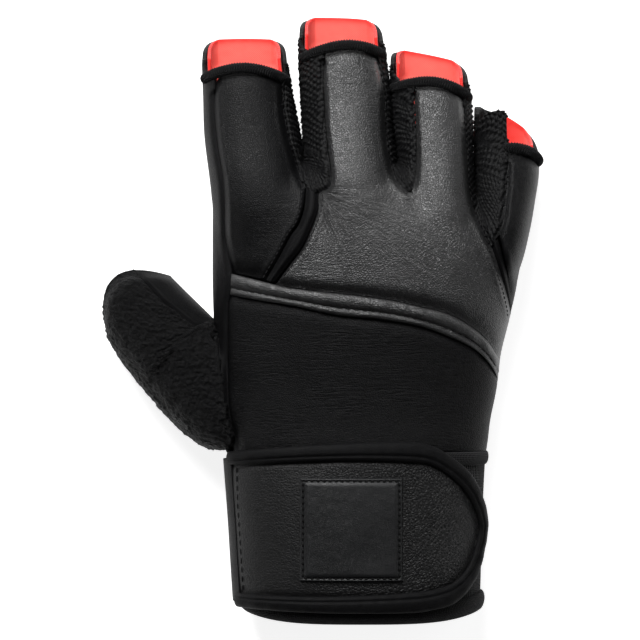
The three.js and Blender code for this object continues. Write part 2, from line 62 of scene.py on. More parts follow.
@dataclass(frozen=True)
class Tube:
    """A tapering tube: rows of (s, left, right, top, floor), shares of the palm's width.

    Args:
        rows: The table of sections, from the wrist end to the tip.
        depth: The height that the top column is a share of, millimetres.
        along: The tube's direction in plan.
    """

    rows: Points
    depth: float = HAND_DEPTH
    along: Pair = (0.0, 1.0)

    def column(self, key: int, s: Points) -> Points:
        """Returns a column at stations s, run smoothly through its rows."""
        rows = self.rows
        knots, values = rows[:, 0], rows[:, key]
        last = len(rows) - 1
        i = np.clip(np.searchsorted(knots, s, "right") - 1, 0, last - 1)
        before, after = np.maximum(i - 1, 0), np.minimum(i + 2, last)
        span = knots[i + 1] - knots[i]
        t = (s - knots[i]) / span
        slope_a = (values[i + 1] - values[before]) / (knots[i + 1] - knots[before]) * span
        slope_b = (values[after] - values[i]) / (knots[after] - knots[i]) * span
        t2, t3 = t * t, t * t * t
        start = (2 * t3 - 3 * t2 + 1) * values[i] + (t3 - 2 * t2 + t) * slope_a
        return start + (3 * t2 - 2 * t3) * values[i + 1] + (t3 - t2) * slope_b

    def local(self, x: Points, y: Points) -> tuple[Points, Points]:
        """Returns the station, a share, and the distance across, in millimetres."""
        ax, ay = self.along
        return (x * ax + y * ay) / PALM_WIDTH, x * ay - y * ax

    def plan(self, s: Points, across: Points) -> tuple[Points, Points]:
        """Returns x and y of a station and a distance across."""
        ax, ay = self.along
        run = np.asarray(s) * PALM_WIDTH
        return ax * run + ay * across, ay * run - ax * across

    def size(self, s: Points) -> tuple[Points, Points, Points, Points, Points]:
        """Returns middle, half width, top, floor and widest level, in millimetres."""
        s = np.clip(s, self.rows[0, 0], self.rows[-1, 0])
        left, right = (self.column(k, s) * PALM_WIDTH for k in (1, 2))
        top = self.column(3, s) * self.depth
        floor = self.column(4, s) * STRAP
        level = floor + (top - floor) * WIDEST
        return (left + right) / 2, (right - left) / 2, top, floor, level

    def height(self, x: Points, y: Points, up: bool = True, grow: float = 0.0) -> Points:
        """Returns the surface's z over (x, y): its back, or its underside.

        Args:
            x: Plan x in millimetres.
            y: Plan y in millimetres.
            up: True for the back of the hand.
            grow: How far the tube is grown outwards.
        """
        s, across = self.local(x, y)
        middle, half, top, floor, level = self.size(s)
        ratio = np.abs(across - middle) / (half + grow)
        if up:
            power, rise = UPPER_ROUND, top - level + grow
        else:
            power, rise = LOWER_ROUND, -(level - floor + FLOOR_SINK + grow)
        inside = np.clip(1 - np.minimum(ratio, 1) ** power, 0, 1) ** (1 / power)
        z = level + rise * inside
        if not up:
            z = np.maximum(z, np.maximum(floor - grow, 0.0))
        sign = -1.0 if up else 1.0
        beyond = np.maximum(ratio - 1, 0) * half * 6
        ends = np.maximum(self.rows[0, 0] - s, 0) + np.maximum(s - self.rows[-1, 0], 0)
        return z + sign * (beyond + ends * PALM_WIDTH * 4)

    def ring(self, s: float, turns: Points, grow: float) -> Points:
        """Returns points round the section at s, grown outwards.

        Args:
            s: The station, a share of the palm's width.
            turns: Angles round the section, from the right side over the back.
            grow: How far the section is grown outwards, millimetres.
        """
        middle, half, top, floor, level = (float(v) for v in self.size(np.array(s)))
        out = np.empty((len(turns), 3))
        cos, sin = np.cos(turns), np.sin(turns)
        upper = sin >= 0
        power = np.where(upper, 2 / UPPER_ROUND, 2 / LOWER_ROUND)
        rise = np.where(upper, top - level, level - floor + FLOOR_SINK)
        across = middle + (half + grow) * np.sign(cos) * np.abs(cos) ** power
        z = level + (rise + grow) * np.sign(sin) * np.abs(sin) ** power
        out[:, 0], out[:, 1] = self.plan(s, across)
        out[:, 2] = np.maximum(z, max(floor - grow, 0.0))
        return out


def tube(rows: Sequence[Sequence[float]], depth: float = HAND_DEPTH, along: Pair = (0, 1)) -> Tube:
    """Returns a tube from rows whose floor column may be left out."""
    full = [list(row) + [0.0] * (5 - len(row)) for row in rows]
    size = math.hypot(*along)
    return Tube(np.array(full, float), depth, (along[0] / size, along[1] / size))


HAND = tube(
    [
        (-0.402, -0.41, 0.438, 1.0, 1),
        (-0.37, -0.414, 0.443, 1.0, 1),
        (-0.3, -0.43, 0.452, 0.985, 0.25),
        (-0.2, -0.447, 0.472, 0.98),
        (-0.08, -0.463, 0.488, 0.99),
        (0.06, -0.473, 0.522, 1.0),
        (0.18, -0.476, 0.545, 1.0),
        (0.27, -0.476, 0.55, 0.99),
        (0.34, -0.476, 0.52, 0.965),
        (0.41, -0.476, 0.43, 0.92),
        (0.47, -0.477, 0.405, 0.85),
        (0.53, -0.475, 0.4, 0.68),
        (0.585, -0.47, 0.395, 0.36),
    ]
)
WRIST = tube(
    [
        (-0.98, -0.372, 0.418, 1.0, 1),
        (-0.86, -0.381, 0.421, 1.0, 1),
        (-0.62, -0.396, 0.428, 0.995, 1),
        (-0.45, -0.409, 0.436, 0.982, 1),
        (-0.36, -0.415, 0.444, 0.976, 1),
    ],
    WRIST_DEPTH,
)
INDEX = tube(
    [
        (0.2, -0.45, -0.08, 0.8),
        (0.38, -0.473, -0.125, 0.9),
        (0.5, -0.486, -0.155, 0.87),
        (0.65, -0.505, -0.183, 0.75),
        (0.78, -0.51, -0.208, 0.66),
        (0.9, -0.514, -0.228, 0.6),
        (1.04, -0.51, -0.235, 0.56),
    ]
)
MIDDLE = tube(
    [
        (0.2, -0.14, 0.2, 0.82),
        (0.38, -0.165, 0.178, 0.94),
        (0.5, -0.168, 0.15, 0.9),
        (0.65, -0.174, 0.129, 0.79),
        (0.8, -0.182, 0.117, 0.69),
        (0.95, -0.187, 0.098, 0.62),
        (1.1, -0.184, 0.088, 0.58),
    ]
)
RING = tube(
    [
        (0.18, 0.16, 0.46, 0.76),
        (0.36, 0.16, 0.42, 0.9),
        (0.46, 0.152, 0.4, 0.87),
        (0.56, 0.142, 0.396, 0.79),
        (0.7, 0.124, 0.394, 0.69),
        (0.84, 0.12, 0.382, 0.61),
        (0.98, 0.122, 0.378, 0.57),
    ]
)
PINKY = tube(
    [
        (0.08, 0.38, 0.5, 0.6),
        (0.22, 0.4, 0.557, 0.8),
        (0.33, 0.402, 0.585, 0.82),
        (0.42, 0.4, 0.602, 0.76),
        (0.54, 0.4, 0.62, 0.66),
        (0.64, 0.4, 0.617, 0.58),
        (0.8, 0.405, 0.615, 0.54),
    ]
)
THUMB = tube(
    [
        (-0.04, -0.575, -0.36, 0.6),
        (0.04, -0.637, -0.34, 0.68),
        (0.16, -0.66, -0.333, 0.7),
        (0.32, -0.661, -0.331, 0.7),
        (0.48, -0.648, -0.342, 0.67),
        (0.6, -0.625, -0.35, 0.63),
        (0.74, -0.6, -0.36, 0.6),
    ],
    along=(-0.66, 0.751),
)
UPPER_TUBES = (HAND, INDEX, MIDDLE, RING, PINKY, THUMB)


@dataclass(frozen=True)
class Line:
    """A smooth line in plan, millimetres, read by its share of length.

    Args:
        points: Dense points along the line.
    """

    points: Points

    @staticmethod
    def through(*points: Pair, smooth: bool = True) -> "Line":
        """Returns a line through points, rounded between them when smooth."""
        p = np.array(points, float)
        if not smooth or len(p) < 3:
            return Line(p)
        ends = np.vstack([2 * p[0] - p[1], p, 2 * p[-1] - p[-2]])
        out = []
        for i in range(1, len(ends) - 2):
            a, b, c, d = ends[i - 1 : i + 3]
            for t in np.linspace(0, 1, 12, endpoint=False):
                out.append(
                    0.5
                    * (
                        2 * b
                        + (c - a) * t
                        + (2 * a - 5 * b + 4 * c - d) * t * t
                        + (3 * b - a - 3 * c + d) * t**3
                    )
                )
        out.append(p[-1])
        return Line(np.array(out))

    def __add__(self, other: "Line") -> "Line":
        return Line(np.vstack([self.points, other.points]))

    def back(self) -> "Line":
        """Returns the same line, run the other way."""
        return Line(self.points[::-1])

    def length(self) -> float:
        """Returns the line's length in millimetres."""
        return float(np.linalg.norm(np.diff(self.points, axis=0), axis=1).sum())

    def at(self, share: Points) -> Points:
        """Returns plan points at shares of the line's length."""
        steps = np.linalg.norm(np.diff(self.points, axis=0), axis=1)
        run = np.concatenate([[0], np.cumsum(steps)])
        run = run / run[-1]
        return np.stack([np.interp(share, run, self.points[:, k]) for k in (0, 1)], axis=-1)

    def distance(self, x: Points, y: Points) -> Points:
        """Returns each point's distance to the line in plan."""
        best = np.full(np.shape(x), 1e9)
        p = self.points
        for a, b in zip(p[:-1], p[1:]):
            run = b - a
            size = float(run @ run)
            if size < 1e-12:
                continue
            t = np.clip(((x - a[0]) * run[0] + (y - a[1]) * run[1]) / size, 0, 1)
            best = np.minimum(best, (x - a[0] - t * run[0]) ** 2 + (y - a[1] - t * run[1]) ** 2)
        return np.sqrt(best)


def share(*points: Pair, smooth: bool = True) -> Line:
    """Returns a line whose points are given as shares of the palm's width."""
    return Line.through(*[(x * PALM_WIDTH, y * PALM_WIDTH) for x, y in points], smooth=smooth)


def side(of: Tube, key: int, start: float, end: float, count: int = 24) -> Line:
    """Returns a tube's outline in plan between two stations.

    Args:
        of: The tube.
        key: 1 for its left side, 2 for its right side.
        start: The first station.
        end: The last station.
        count: How many points to make.
    """
    s = np.linspace(start, end, count)
    x, y = of.plan(s, of.column(key, s) * PALM_WIDTH)
    return Line(np.stack([x, y], axis=-1))


INDEX_LEFT = share(
    (-0.409, 0.188), (-0.418, 0.24), (-0.43, 0.31), (-0.432, 0.41), (-0.438, 0.497),
    (-0.454, 0.587), (-0.465, 0.677), (-0.47, 0.783),
)
LOWER_LEFT = share(
    (-0.385, -0.39), (-0.407, -0.312), (-0.417, -0.263), (-0.421, -0.2), (-0.423, -0.03),
    (-0.421, 0.083), (-0.415, 0.112),
)
INDEX_RIGHT = share(
    (-0.163, 0.47), (-0.175, 0.48), (-0.197, 0.551), (-0.22, 0.632), (-0.238, 0.721),
    (-0.242, 0.801),
)
STRIP_INDEX_LEFT = share(
    (-0.295, 0.163), (-0.247, 0.247), (-0.213, 0.31), (-0.186, 0.348), (-0.169, 0.403),
    (-0.163, 0.47),
)
STRIP_INDEX_RIGHT = share(
    (-0.268, 0.156), (-0.217, 0.221), (-0.178, 0.27), (-0.149, 0.33), (-0.125, 0.393),
    (-0.121, 0.449),
)
MIDDLE_LEFT = share(
    (-0.121, 0.449), (-0.085, 0.472), (-0.081, 0.52), (-0.09, 0.587), (-0.1, 0.677),
    (-0.104, 0.767), (-0.108, 0.885),
)
MIDDLE_RIGHT = share(
    (0.174, 0.455), (0.14, 0.49), (0.117, 0.553), (0.102, 0.651), (0.097, 0.788), (0.08, 0.887),
)
RING_LEFT = share(
    (0.174, 0.455), (0.187, 0.463), (0.199, 0.523), (0.202, 0.608), (0.199, 0.693), (0.195, 0.778),
)
RING_RIGHT = share(
    (0.385, 0.43), (0.378, 0.481), (0.372, 0.566), (0.367, 0.651), (0.361, 0.774),
)
RING_WEB = share((0.449, 0.275), (0.432, 0.309), (0.407, 0.36), (0.385, 0.43))
STRIP_PINKY_LEFT = share((0.519, 0.045), (0.513, 0.079), (0.5, 0.127), (0.483, 0.177),
                         (0.466, 0.228), (0.449, 0.275))
STRIP_PINKY_RIGHT = share((0.522, 0.085), (0.513, 0.134), (0.504, 0.177), (0.491, 0.223),
                          (0.474, 0.287), (0.468, 0.3))
PINKY_LEFT = share((0.468, 0.3), (0.489, 0.372), (0.496, 0.437), (0.501, 0.46), (0.506, 0.549))
BAND_TOP = share(
    (-0.41, 0.187), (-0.315, 0.163), (-0.208, 0.138), (-0.085, 0.123), (0.037, 0.109),
    (0.135, 0.094), (0.217, 0.075), (0.303, 0.053), (0.381, 0.011), (0.436, -0.036),
    (0.466, -0.078), (0.484, -0.103),
)
BAND_BOTTOM = share(
    (-0.414, 0.114), (-0.33, 0.099), (-0.208, 0.079), (-0.061, 0.048), (0.086, 0.033),
    (0.21, 0.011), (0.296, -0.019), (0.381, -0.057), (0.432, -0.099), (0.462, -0.138),
    (0.478, -0.17),
)
THUMB_ROOT = share(
    (-0.41, -0.398), (-0.412, -0.34), (-0.432, -0.25), (-0.445, -0.159), (-0.457, -0.073),
    (-0.47, 0.0), (-0.474, 0.04),
)
THUMB_EDGE = share(
    (-0.466, 0.006), (-0.513, 0.005), (-0.547, 0.02), (-0.602, 0.063), (-0.645, 0.097),
    (-0.679, 0.135), (-0.716, 0.174),
)
SEAMS = (
    INDEX_LEFT, LOWER_LEFT, INDEX_RIGHT, STRIP_INDEX_LEFT, STRIP_INDEX_RIGHT, MIDDLE_LEFT,
    MIDDLE_RIGHT, RING_LEFT, RING_RIGHT, RING_WEB, STRIP_PINKY_LEFT, STRIP_PINKY_RIGHT,
    PINKY_LEFT, THUMB_EDGE,
)


@dataclass
class Skin:
    """The glove's outer surface as a height over the plan.

    Args:
        blend: How softly the tubes run into one another, millimetres.
        seam_depth: How deep the leather dips at a seam, millimetres.
        seam_width: How wide that dip is, millimetres.
        ridge: How far the folded leather stands up beside a seam, millimetres.
    """

    blend: float = 1.4
    seam_depth: float = 0.85
    seam_width: float = 0.95
    ridge: float = 0.3

    def bare(self, x: Points, y: Points) -> Points:
        """Returns the smooth height of the tubes run together."""
        heights = [t.height(x, y) / self.blend for t in UPPER_TUBES]
        best = np.max(heights, axis=0)
        total = sum(np.exp(np.maximum(h - best, -40)) for h in heights)
        return self.blend * (best + np.log(total))

    def top(self, x: Points, y: Points) -> Points:
        """Returns the height with the dip and the folded ridges of each seam."""
        z = self.bare(x, y)
        near = np.min([line.distance(x, y) for line in SEAMS], axis=0)
        dip = np.exp(-((near / self.seam_width) ** 2))
        ridge = np.exp(-(((near - 1.9) / 0.9) ** 2))
        z = z - self.seam_depth * dip + self.ridge * ridge
        return z

    def under(self, x: Points, y: Points) -> Points:
        """Returns the underside's height, flat where the glove rests."""
        heights = [-t.height(x, y, up=False) / self.blend for t in UPPER_TUBES]
        return np.maximum(-self.blend * np.max(heights, axis=0), 0.0)


SKIN = Skin()


def thicken(mesh: bmesh.types.BMesh, thickness: float) -> None:
    """Gives a sheet an inside and closes its borders.

    Args:
        mesh: The sheet, its faces to the outside.
        thickness: How far in the inside lies, metres.
    """
    uv = mesh.loops.layers.uv.verify()
    inner = [(vert, vert.co - vert.normal * thickness) for vert in mesh.verts]
    borders = [
        (loop.vert, loop.link_loop_next.vert, loop[uv].uv[:], loop.link_loop_next[uv].uv[:])
        for edge in mesh.edges
        if edge.is_boundary
        for loop in edge.link_loops
    ]
    made = bmesh.ops.duplicate(mesh, geom=mesh.verts[:] + mesh.edges[:] + mesh.faces[:])
    copy = made["vert_map"]
    for vert, point in inner:
        point.z = max(point.z, 0.0)
        copy[vert].co = point
    faces = [part for part in made["geom"] if isinstance(part, bmesh.types.BMFace)]
    bmesh.ops.reverse_faces(mesh, faces=faces)
    for a, b, run_a, run_b in borders:
        wall = mesh.faces.new((b, a, copy[a], copy[b]))
        for loop, run in zip(wall.loops, (run_b, run_a, run_a, run_b)):
            loop[uv].uv = run


def finish_mesh(
    name: str, mesh: bmesh.types.BMesh, thickness: float, inward: Points | None = None
) -> bpy.types.Object:
    """Gives a sheet its thickness and makes it an object.

    Args:
        name: The new object's name, with spaces for its underscores.
        mesh: The sheet, in metres.
        thickness: How thick the sheet is, millimetres; 0 leaves a closed body as it is.
        inward: A point behind the sheet, in millimetres.
    """
    if thickness:
        mesh.normal_update()
        if inward is not None:
            centre = Vector(inward) * MM
            score = sum(
                (f.calc_center_median() - centre).dot(f.normal) * f.calc_area()
                for f in mesh.faces
            )
        else:
            score = sum(f.normal.z * f.calc_area() for f in mesh.faces)
        if score < 0:
            bmesh.ops.reverse_faces(mesh, faces=mesh.faces[:])
            mesh.normal_update()
        thicken(mesh, thickness * MM)
    bmesh.ops.recalc_face_normals(mesh, faces=mesh.faces[:])
    data = bpy.data.meshes.new(name)
    mesh.to_mesh(data)
    mesh.free()
    data.polygons.foreach_set("use_smooth", [True] * len(data.polygons))
    piece = bpy.data.objects.new(name.replace(" ", "_"), data)
    bpy.context.scene.collection.objects.link(piece)
    return piece


def by_length(row: Points, count: int) -> Points:
    """Returns shares at which a row of points is cut into equal lengths.

    Args:
        row: Points (n, 3) along the row.
        count: How many points the row is to have.
    """
    steps = np.linalg.norm(np.diff(row, axis=0), axis=1)
    run = np.concatenate([[0], np.cumsum(steps)])
    return np.interp(np.linspace(0, run[-1], count), run, np.linspace(0, 1, len(row)))


@dataclass
class Patch:
    """A four-sided piece of the glove's skin, given by its edges in plan.

    Args:
        left: The left edge, from the wrist end up.
        right: The right edge, from the wrist end up.
        low: The wrist end, from left to right; straight when left out.
        high: The finger end, from left to right; straight when left out.
        size: Rows and columns.
        even: True to space the columns by the surface's own length.
        top: The height over the plan; the skin's top when left out.
        lean: How far the columns crowd to the right at the wrist end; 1 is not at all.
    """

    left: Line
    right: Line
    low: Line | None = None
    high: Line | None = None
    size: tuple[int, int] = (60, 60)
    even: bool = False
    top: Callable[[Points, Points], Points] | None = None
    lean: float = 1.0

    def plan(self, u: Points, v: Points) -> Points:
        """Returns plan points at shares across and along."""
        left, right = self.left.at(v), self.right.at(v)
        u1, v1 = u[..., None], v[..., None]
        out = left * (1 - u1) + right * u1
        ll, lr = self.left.at(np.array(0.0)), self.right.at(np.array(0.0))
        hl, hr = self.left.at(np.array(1.0)), self.right.at(np.array(1.0))
        if self.low is not None:
            out = out + (1 - v1) * (self.low.at(u) - (ll * (1 - u1) + lr * u1))
        if self.high is not None:
            out = out + v1 * (self.high.at(u) - (hl * (1 - u1) + hr * u1))
        return out

    def grid(self, lift: Callable[[Points, Points, Points], Points] | None = None) -> Points:
        """Returns the patch's points (rows, columns, 3) on the skin.

        Args:
            lift: Returns the extra height at shares across and along and at the points.
        """
        rows, columns = self.size
        height = self.top or SKIN.top
        v = np.linspace(0, 1, rows)
        u = np.broadcast_to(np.linspace(0, 1, columns), (rows, columns)).copy()
        if self.lean != 1:
            crowd = ((1 - v) ** 1.5)[:, None]
            u = u * (1 - crowd) + (1 - (1 - u) ** self.lean) * crowd
        if self.even:
            bare = self.top or SKIN.bare
            fine = 0.5 - 0.5 * np.cos(np.linspace(0, math.pi, 161))
            vf = np.broadcast_to(v[:, None], (rows, len(fine)))
            xy = self.plan(np.broadcast_to(fine, vf.shape), vf)
            z = bare(xy[..., 0], xy[..., 1])
            for r in range(rows):
                cut = by_length(np.column_stack([xy[r], z[r]]), columns)
                u[r] = np.interp(cut * (len(fine) - 1), np.arange(len(fine)), fine)
        vv = np.broadcast_to(v[:, None], u.shape)
        xy = self.plan(u, vv)
        z = height(xy[..., 0], xy[..., 1])
        out = np.concatenate([xy, z[..., None]], axis=-1)
        if lift is not None:
            out[..., 2] += lift(u, vv, out)
        return out

    def rolled(self, low: bool, high: bool, depth: float = 2.0, reach: float = 3.2):
        """Returns a lift that rolls the ends of the patch down.

        Args:
            low: Whether the wrist end rolls down.
            high: Whether the finger end rolls down.
            depth: How far down the edge goes, millimetres.
            reach: Over what length it goes down, millimetres.
        """
        run = self.left.length() / 2 + self.right.length() / 2

        def lift(u: Points, v: Points, at: Points) -> Points:
            out = np.zeros_like(v)
            if low:
                out -= depth * np.exp(-((v * run / reach) ** 2))
            if high:
                out -= depth * np.exp(-(((1 - v) * run / reach) ** 2))
            return out

        return lift


@dataclass(frozen=True)
class Value:
    """A shader value, with sums written as plain arithmetic."""

    tree: bpy.types.NodeTree
    socket: bpy.types.NodeSocket

    def _math(self, operation: str, *others: "Value | float") -> "Value":
        node = self.tree.nodes.new("ShaderNodeMath")
        node.operation = operation
        for slot, item in zip(node.inputs, (self, *others)):
            if isinstance(item, Value):
                self.tree.links.new(item.socket, slot)
            else:
                slot.default_value = item
        return Value(self.tree, node.outputs[0])

    def __add__(self, other: "Value | float") -> "Value":
        return self._math("ADD", other)

    def __sub__(self, other: "Value | float") -> "Value":
        return self._math("SUBTRACT", other)

    def __mul__(self, other: "Value | float") -> "Value":
        return self._math("MULTIPLY", other)

    def __pow__(self, other: "Value | float") -> "Value":
        return self._math("POWER", other)

    def sine(self) -> "Value":
        """Returns the sine of this value."""
        return self._math("SINE")

    def turn(self, other: "Value") -> "Value":
        """Returns the angle of the point (other, self)."""
        return self._math("ARCTAN2", other)

    def ramp(self, low: float, high: float, start: float = 0.0, end: float = 1.0) -> "Value":
        """Returns this value mapped from low..high to start..end, held at the ends."""
        node = self.tree.nodes.new("ShaderNodeMapRange")
        self.tree.links.new(self.socket, node.inputs["Value"])
        for name, number in (
            ("From Min", low), ("From Max", high), ("To Min", start), ("To Max", end),
        ):
            node.inputs[name].default_value = number
        return Value(self.tree, node.outputs["Result"])


class Shader:
    """One material's node tree, built up by a finish.

    Args:
        name: The material's name.
    """

    def __init__(self, name: str) -> None:
        self.material = bpy.data.materials.new(name)
        self.material.use_nodes = True
        self.tree = self.material.node_tree
        self.surface = self.tree.nodes["Principled BSDF"]
        self.coordinates = self.node("ShaderNodeTexCoord").outputs["Object"]

    def node(self, kind: str, **inputs: object) -> bpy.types.Node:
        """Makes a node and sets or links its inputs, named with underscores for spaces."""
        made = self.tree.nodes.new(kind)
        for key, item in inputs.items():
            slot = made.inputs[key.replace("_", " ")]
            if isinstance(item, Value):
                self.tree.links.new(item.socket, slot)
            elif isinstance(item, bpy.types.NodeSocket):
                self.tree.links.new(item, slot)
            else:
                slot.default_value = item
        return made

    def noise(self, scale: float, detail: float = 3.0, rough: float = 0.55, **more: object) -> Value:
        """Returns a noise value from 0 to 1, scale in cells a metre."""
        at = more.pop("Vector", self.coordinates)
        made = self.node("ShaderNodeTexNoise", Vector=at, Scale=scale, Detail=detail,
                         Roughness=rough, **more)
        return Value(self.tree, made.outputs["Fac"])

    def cells(self, scale: float, feature: str = "F1", jitter: float = 1.0, at=None) -> Value:
        """Returns the distance within cells, scale in cells a metre."""
        made = self.tree.nodes.new("ShaderNodeTexVoronoi")
        made.feature = feature
        self.tree.links.new(at or self.coordinates, made.inputs["Vector"])
        made.inputs["Scale"].default_value = scale
        made.inputs["Randomness"].default_value = jitter
        return Value(self.tree, made.outputs["Distance"])

    def warped(self, scale: float, amount: float) -> bpy.types.NodeSocket:
        """Returns object coordinates pushed about by a noise, in metres."""
        noise = self.node("ShaderNodeTexNoise", Vector=self.coordinates, Scale=scale, Detail=2.0)
        shift = self.tree.nodes.new("ShaderNodeVectorMath")
        shift.operation = "MULTIPLY_ADD"
        self.tree.links.new(noise.outputs["Color"], shift.inputs[0])
        shift.inputs[1].default_value = (amount, amount, amount)
        self.tree.links.new(self.coordinates, shift.inputs[2])
        return shift.outputs["Vector"]

    def run(self) -> tuple[Value, Value]:
        """Returns the piece's own UV run, across and along, in metres."""
        uv = self.tree.nodes.new("ShaderNodeUVMap")
        uv.uv_map = "Run"
        parts = self.node("ShaderNodeSeparateXYZ", Vector=uv.outputs["UV"])
        return Value(self.tree, parts.outputs["X"]), Value(self.tree, parts.outputs["Y"])

    def place(self) -> tuple[Value, Value, Value]:
        """Returns the object coordinates, in metres."""
        parts = self.node("ShaderNodeSeparateXYZ", Vector=self.coordinates)
        return tuple(Value(self.tree, parts.outputs[key]) for key in "XYZ")

    def creased(self, x: Value, y: Value, z: Value) -> Value:
        """Returns 0 in fine creases and 1 between them, over stretched cells."""
        at = self.node("ShaderNodeCombineXYZ", X=x, Y=y, Z=z).outputs["Vector"]
        wave = self.noise(1.0, 2.5, 0.6, Vector=at) - 0.5
        return (wave * wave).ramp(0.0, 0.004)

    def fan(self, web: Pair) -> Value:
        """Returns creases that spread from a finger web, 1 where there are none."""
        x, y, z = self.place()
        x, y = x - web[0], y - web[1]
        reach = (x * x + y * y) ** 0.5
        turn = y.turn(x)
        folds = self.creased(turn * 24.0 + self.noise(45, 2.0) * 2.4, reach * 22.0, z * 0.0)
        near = reach.ramp(0.02, 0.07, 1.0, 0.0) * turn.ramp(-1.45, -1.2) * turn.ramp(0.5, 0.1)
        near = near * self.noise(40, 2.0).ramp(0.34, 0.56)
        return folds * near - near

    def lines(self) -> Value:
        """Returns fine creases across the hand, 0 where there are none."""
        x, y, z = self.place()
        bent = self.noise(45, 2.0) * 1.6
        folds = self.creased(x * 50.0, y * 680.0 + bent, z * 200.0)
        near = self.noise(55, 2.0).ramp(0.4, 0.62)
        return folds * near - near

    def mix(self, factor: Value, low: tuple, high: tuple) -> bpy.types.NodeSocket:
        """Returns a colour between two, by a factor from 0 to 1."""
        made = self.tree.nodes.new("ShaderNodeMix")
        made.data_type = "RGBA"
        self.tree.links.new(factor.socket, made.inputs[0])
        made.inputs[6].default_value = (*low, 1.0)
        made.inputs[7].default_value = (*high, 1.0)
        return made.outputs[2]

    def bump(self, *layers: tuple[Value, float]) -> None:
        """Adds bump layers, each a height and its depth in millimetres."""
        normal = None
        for height, depth in layers:
            made = self.node("ShaderNodeBump", Height=height, Strength=1.0, Distance=depth * MM)
            if normal is not None:
                self.tree.links.new(normal, made.inputs["Normal"])
            normal = made.outputs["Normal"]
        self.tree.links.new(normal, self.surface.inputs["Normal"])

    def set(self, **inputs: object) -> None:
        """Sets or links inputs of the surface."""
        for key, item in inputs.items():
            slot = self.surface.inputs[key.replace("_", " ")]
            if isinstance(item, Value):
                self.tree.links.new(item.socket, slot)
            elif isinstance(item, bpy.types.NodeSocket):
                self.tree.links.new(item, slot)
            else:
                slot.default_value = item


@dataclass(frozen=True)
class Leather:
    """Pebbled leather.

    Args:
        dark: Colour in the creases.
        light: Colour on the grain.
        grain: Width of a pebble, millimetres.
        depth: Depth of the grain, millimetres.
        roughness: Middle roughness.
        fan: Depth of the creases round the index web, millimetres.
        lines: Depth of the creases across the hand, millimetres.
        fade: True where the grain is fainter towards the thumb.
        gloss: Strength of the reflections.
    """

    dark: tuple[float, float, float] = (0.0018, 0.0018, 0.002)
    light: tuple[float, float, float] = (0.0055, 0.0055, 0.006)
    grain: float = 0.85
    depth: float = 0.12
    roughness: float = 0.42
    fan: float = 0.0
    lines: float = 0.0
    fade: bool = False
    gloss: float = 0.5

    def make(self, name: str) -> bpy.types.Material:
        """Returns the material."""
        s = Shader(name)
        fan, lines = s.fan((-0.0135, 0.0465)), s.lines()
        bent = s.warped(420, 0.0009)
        pebble = s.cells(1000 / self.grain, "SMOOTH_F1", 0.9, bent)
        edge = s.cells(1000 / self.grain, "DISTANCE_TO_EDGE", 0.9, bent).ramp(0.0, 0.22)
        fine = s.noise(5200, 2.0, 0.6)
        broad = s.noise(60, 3.0, 0.5)
        if self.fade:
            pebble, edge = (part * s.place()[0].ramp(-0.02, 0.025, 0.3, 1.0) for part in (pebble, edge))
        tone = edge * 0.55 + broad * 0.35 + fine * 0.25
        s.set(
            Base_Color=s.mix(tone.ramp(0.25, 0.95), self.dark, self.light),
            Roughness=(broad * 0.16 + fine * 0.1 - edge * 0.07) + (self.roughness - 0.08),
            Specular_IOR_Level=self.gloss,
        )
        s.bump(
            (broad, 0.5),
            (edge - pebble * 0.35, self.depth),
            (fine, self.depth * 0.35),
            (fan, self.fan),
            (lines, self.lines),
        )
        return s.material


@dataclass(frozen=True)
class Fabric:
    """A dark cloth with a fine thread pattern along its own run.

    Args:
        color: The cloth's colour.
        pitch: Width of a thread, millimetres.
        depth: Depth of the weave, millimetres.
        fuzz: Strength of the soft sheen.
        cross: Share of the pattern that runs the other way.
    """

    color: tuple[float, float, float] = (0.003, 0.003, 0.0033)
    pitch: float = 0.7
    depth: float = 0.14
    fuzz: float = 0.06
    cross: float = 1.0
    roughness: float = 0.82

    def make(self, name: str) -> bpy.types.Material:
        """Returns the material."""
        s = Shader(name)
        u, v = s.run()
        turn = 2000 * math.pi / self.pitch
        weave = (u * turn).sine() * self.cross + (v * turn).sine()
        fibres = s.noise(3800, 4.0, 0.7)
        tone = weave.ramp(-1.6, 1.6) * 0.5 + fibres * 0.6
        low = tuple(c * 0.55 for c in self.color)
        high = tuple(c * 1.9 for c in self.color)
        s.set(
            Base_Color=s.mix(tone.ramp(0.2, 0.95), low, high),
            Roughness=fibres * 0.12 + self.roughness,
            Specular_IOR_Level=0.2,
            Sheen_Weight=self.fuzz,
            Sheen_Roughness=0.45,
            Sheen_Tint=(0.6, 0.6, 0.62, 1.0),
        )
        s.bump((weave, self.depth), (fibres, self.depth * 0.8))
        return s.material


@dataclass(frozen=True)
class Pile:
    """Looped towelling or spacer mesh, whose form is modelled; fibres are added.

    Args:
        color: Colour of the yarn.
        fibre: Cells a metre of the yarn's fibres.
        fuzz: Strength of the soft sheen.
    """

    color: tuple[float, float, float] = (0.009, 0.009, 0.0095)
    fibre: float = 2600
    depth: float = 0.22
    fuzz: float = 0.35
    roughness: float = 0.7

    def make(self, name: str) -> bpy.types.Material:
        """Returns the material."""
        s = Shader(name)
        fibres = s.noise(self.fibre, 5.0, 0.75)
        knots = s.cells(self.fibre * 0.4, "F1", 1.0, s.warped(900, 0.0006))
        tone = fibres * 0.8 - knots * 0.3
        low = tuple(c * 0.4 for c in self.color)
        high = tuple(c * 2.6 for c in self.color)
        s.set(
            Base_Color=s.mix(tone.ramp(0.1, 0.6), low, high),
            Roughness=fibres * 0.1 + self.roughness,
            Specular_IOR_Level=0.14,
            Sheen_Weight=self.fuzz,
            Sheen_Roughness=0.4,
            Sheen_Tint=(0.6, 0.6, 0.62, 1.0),
        )
        s.bump((knots * -1.0 + fibres * 0.6, self.depth), (fibres, self.depth * 0.6))
        return s.material


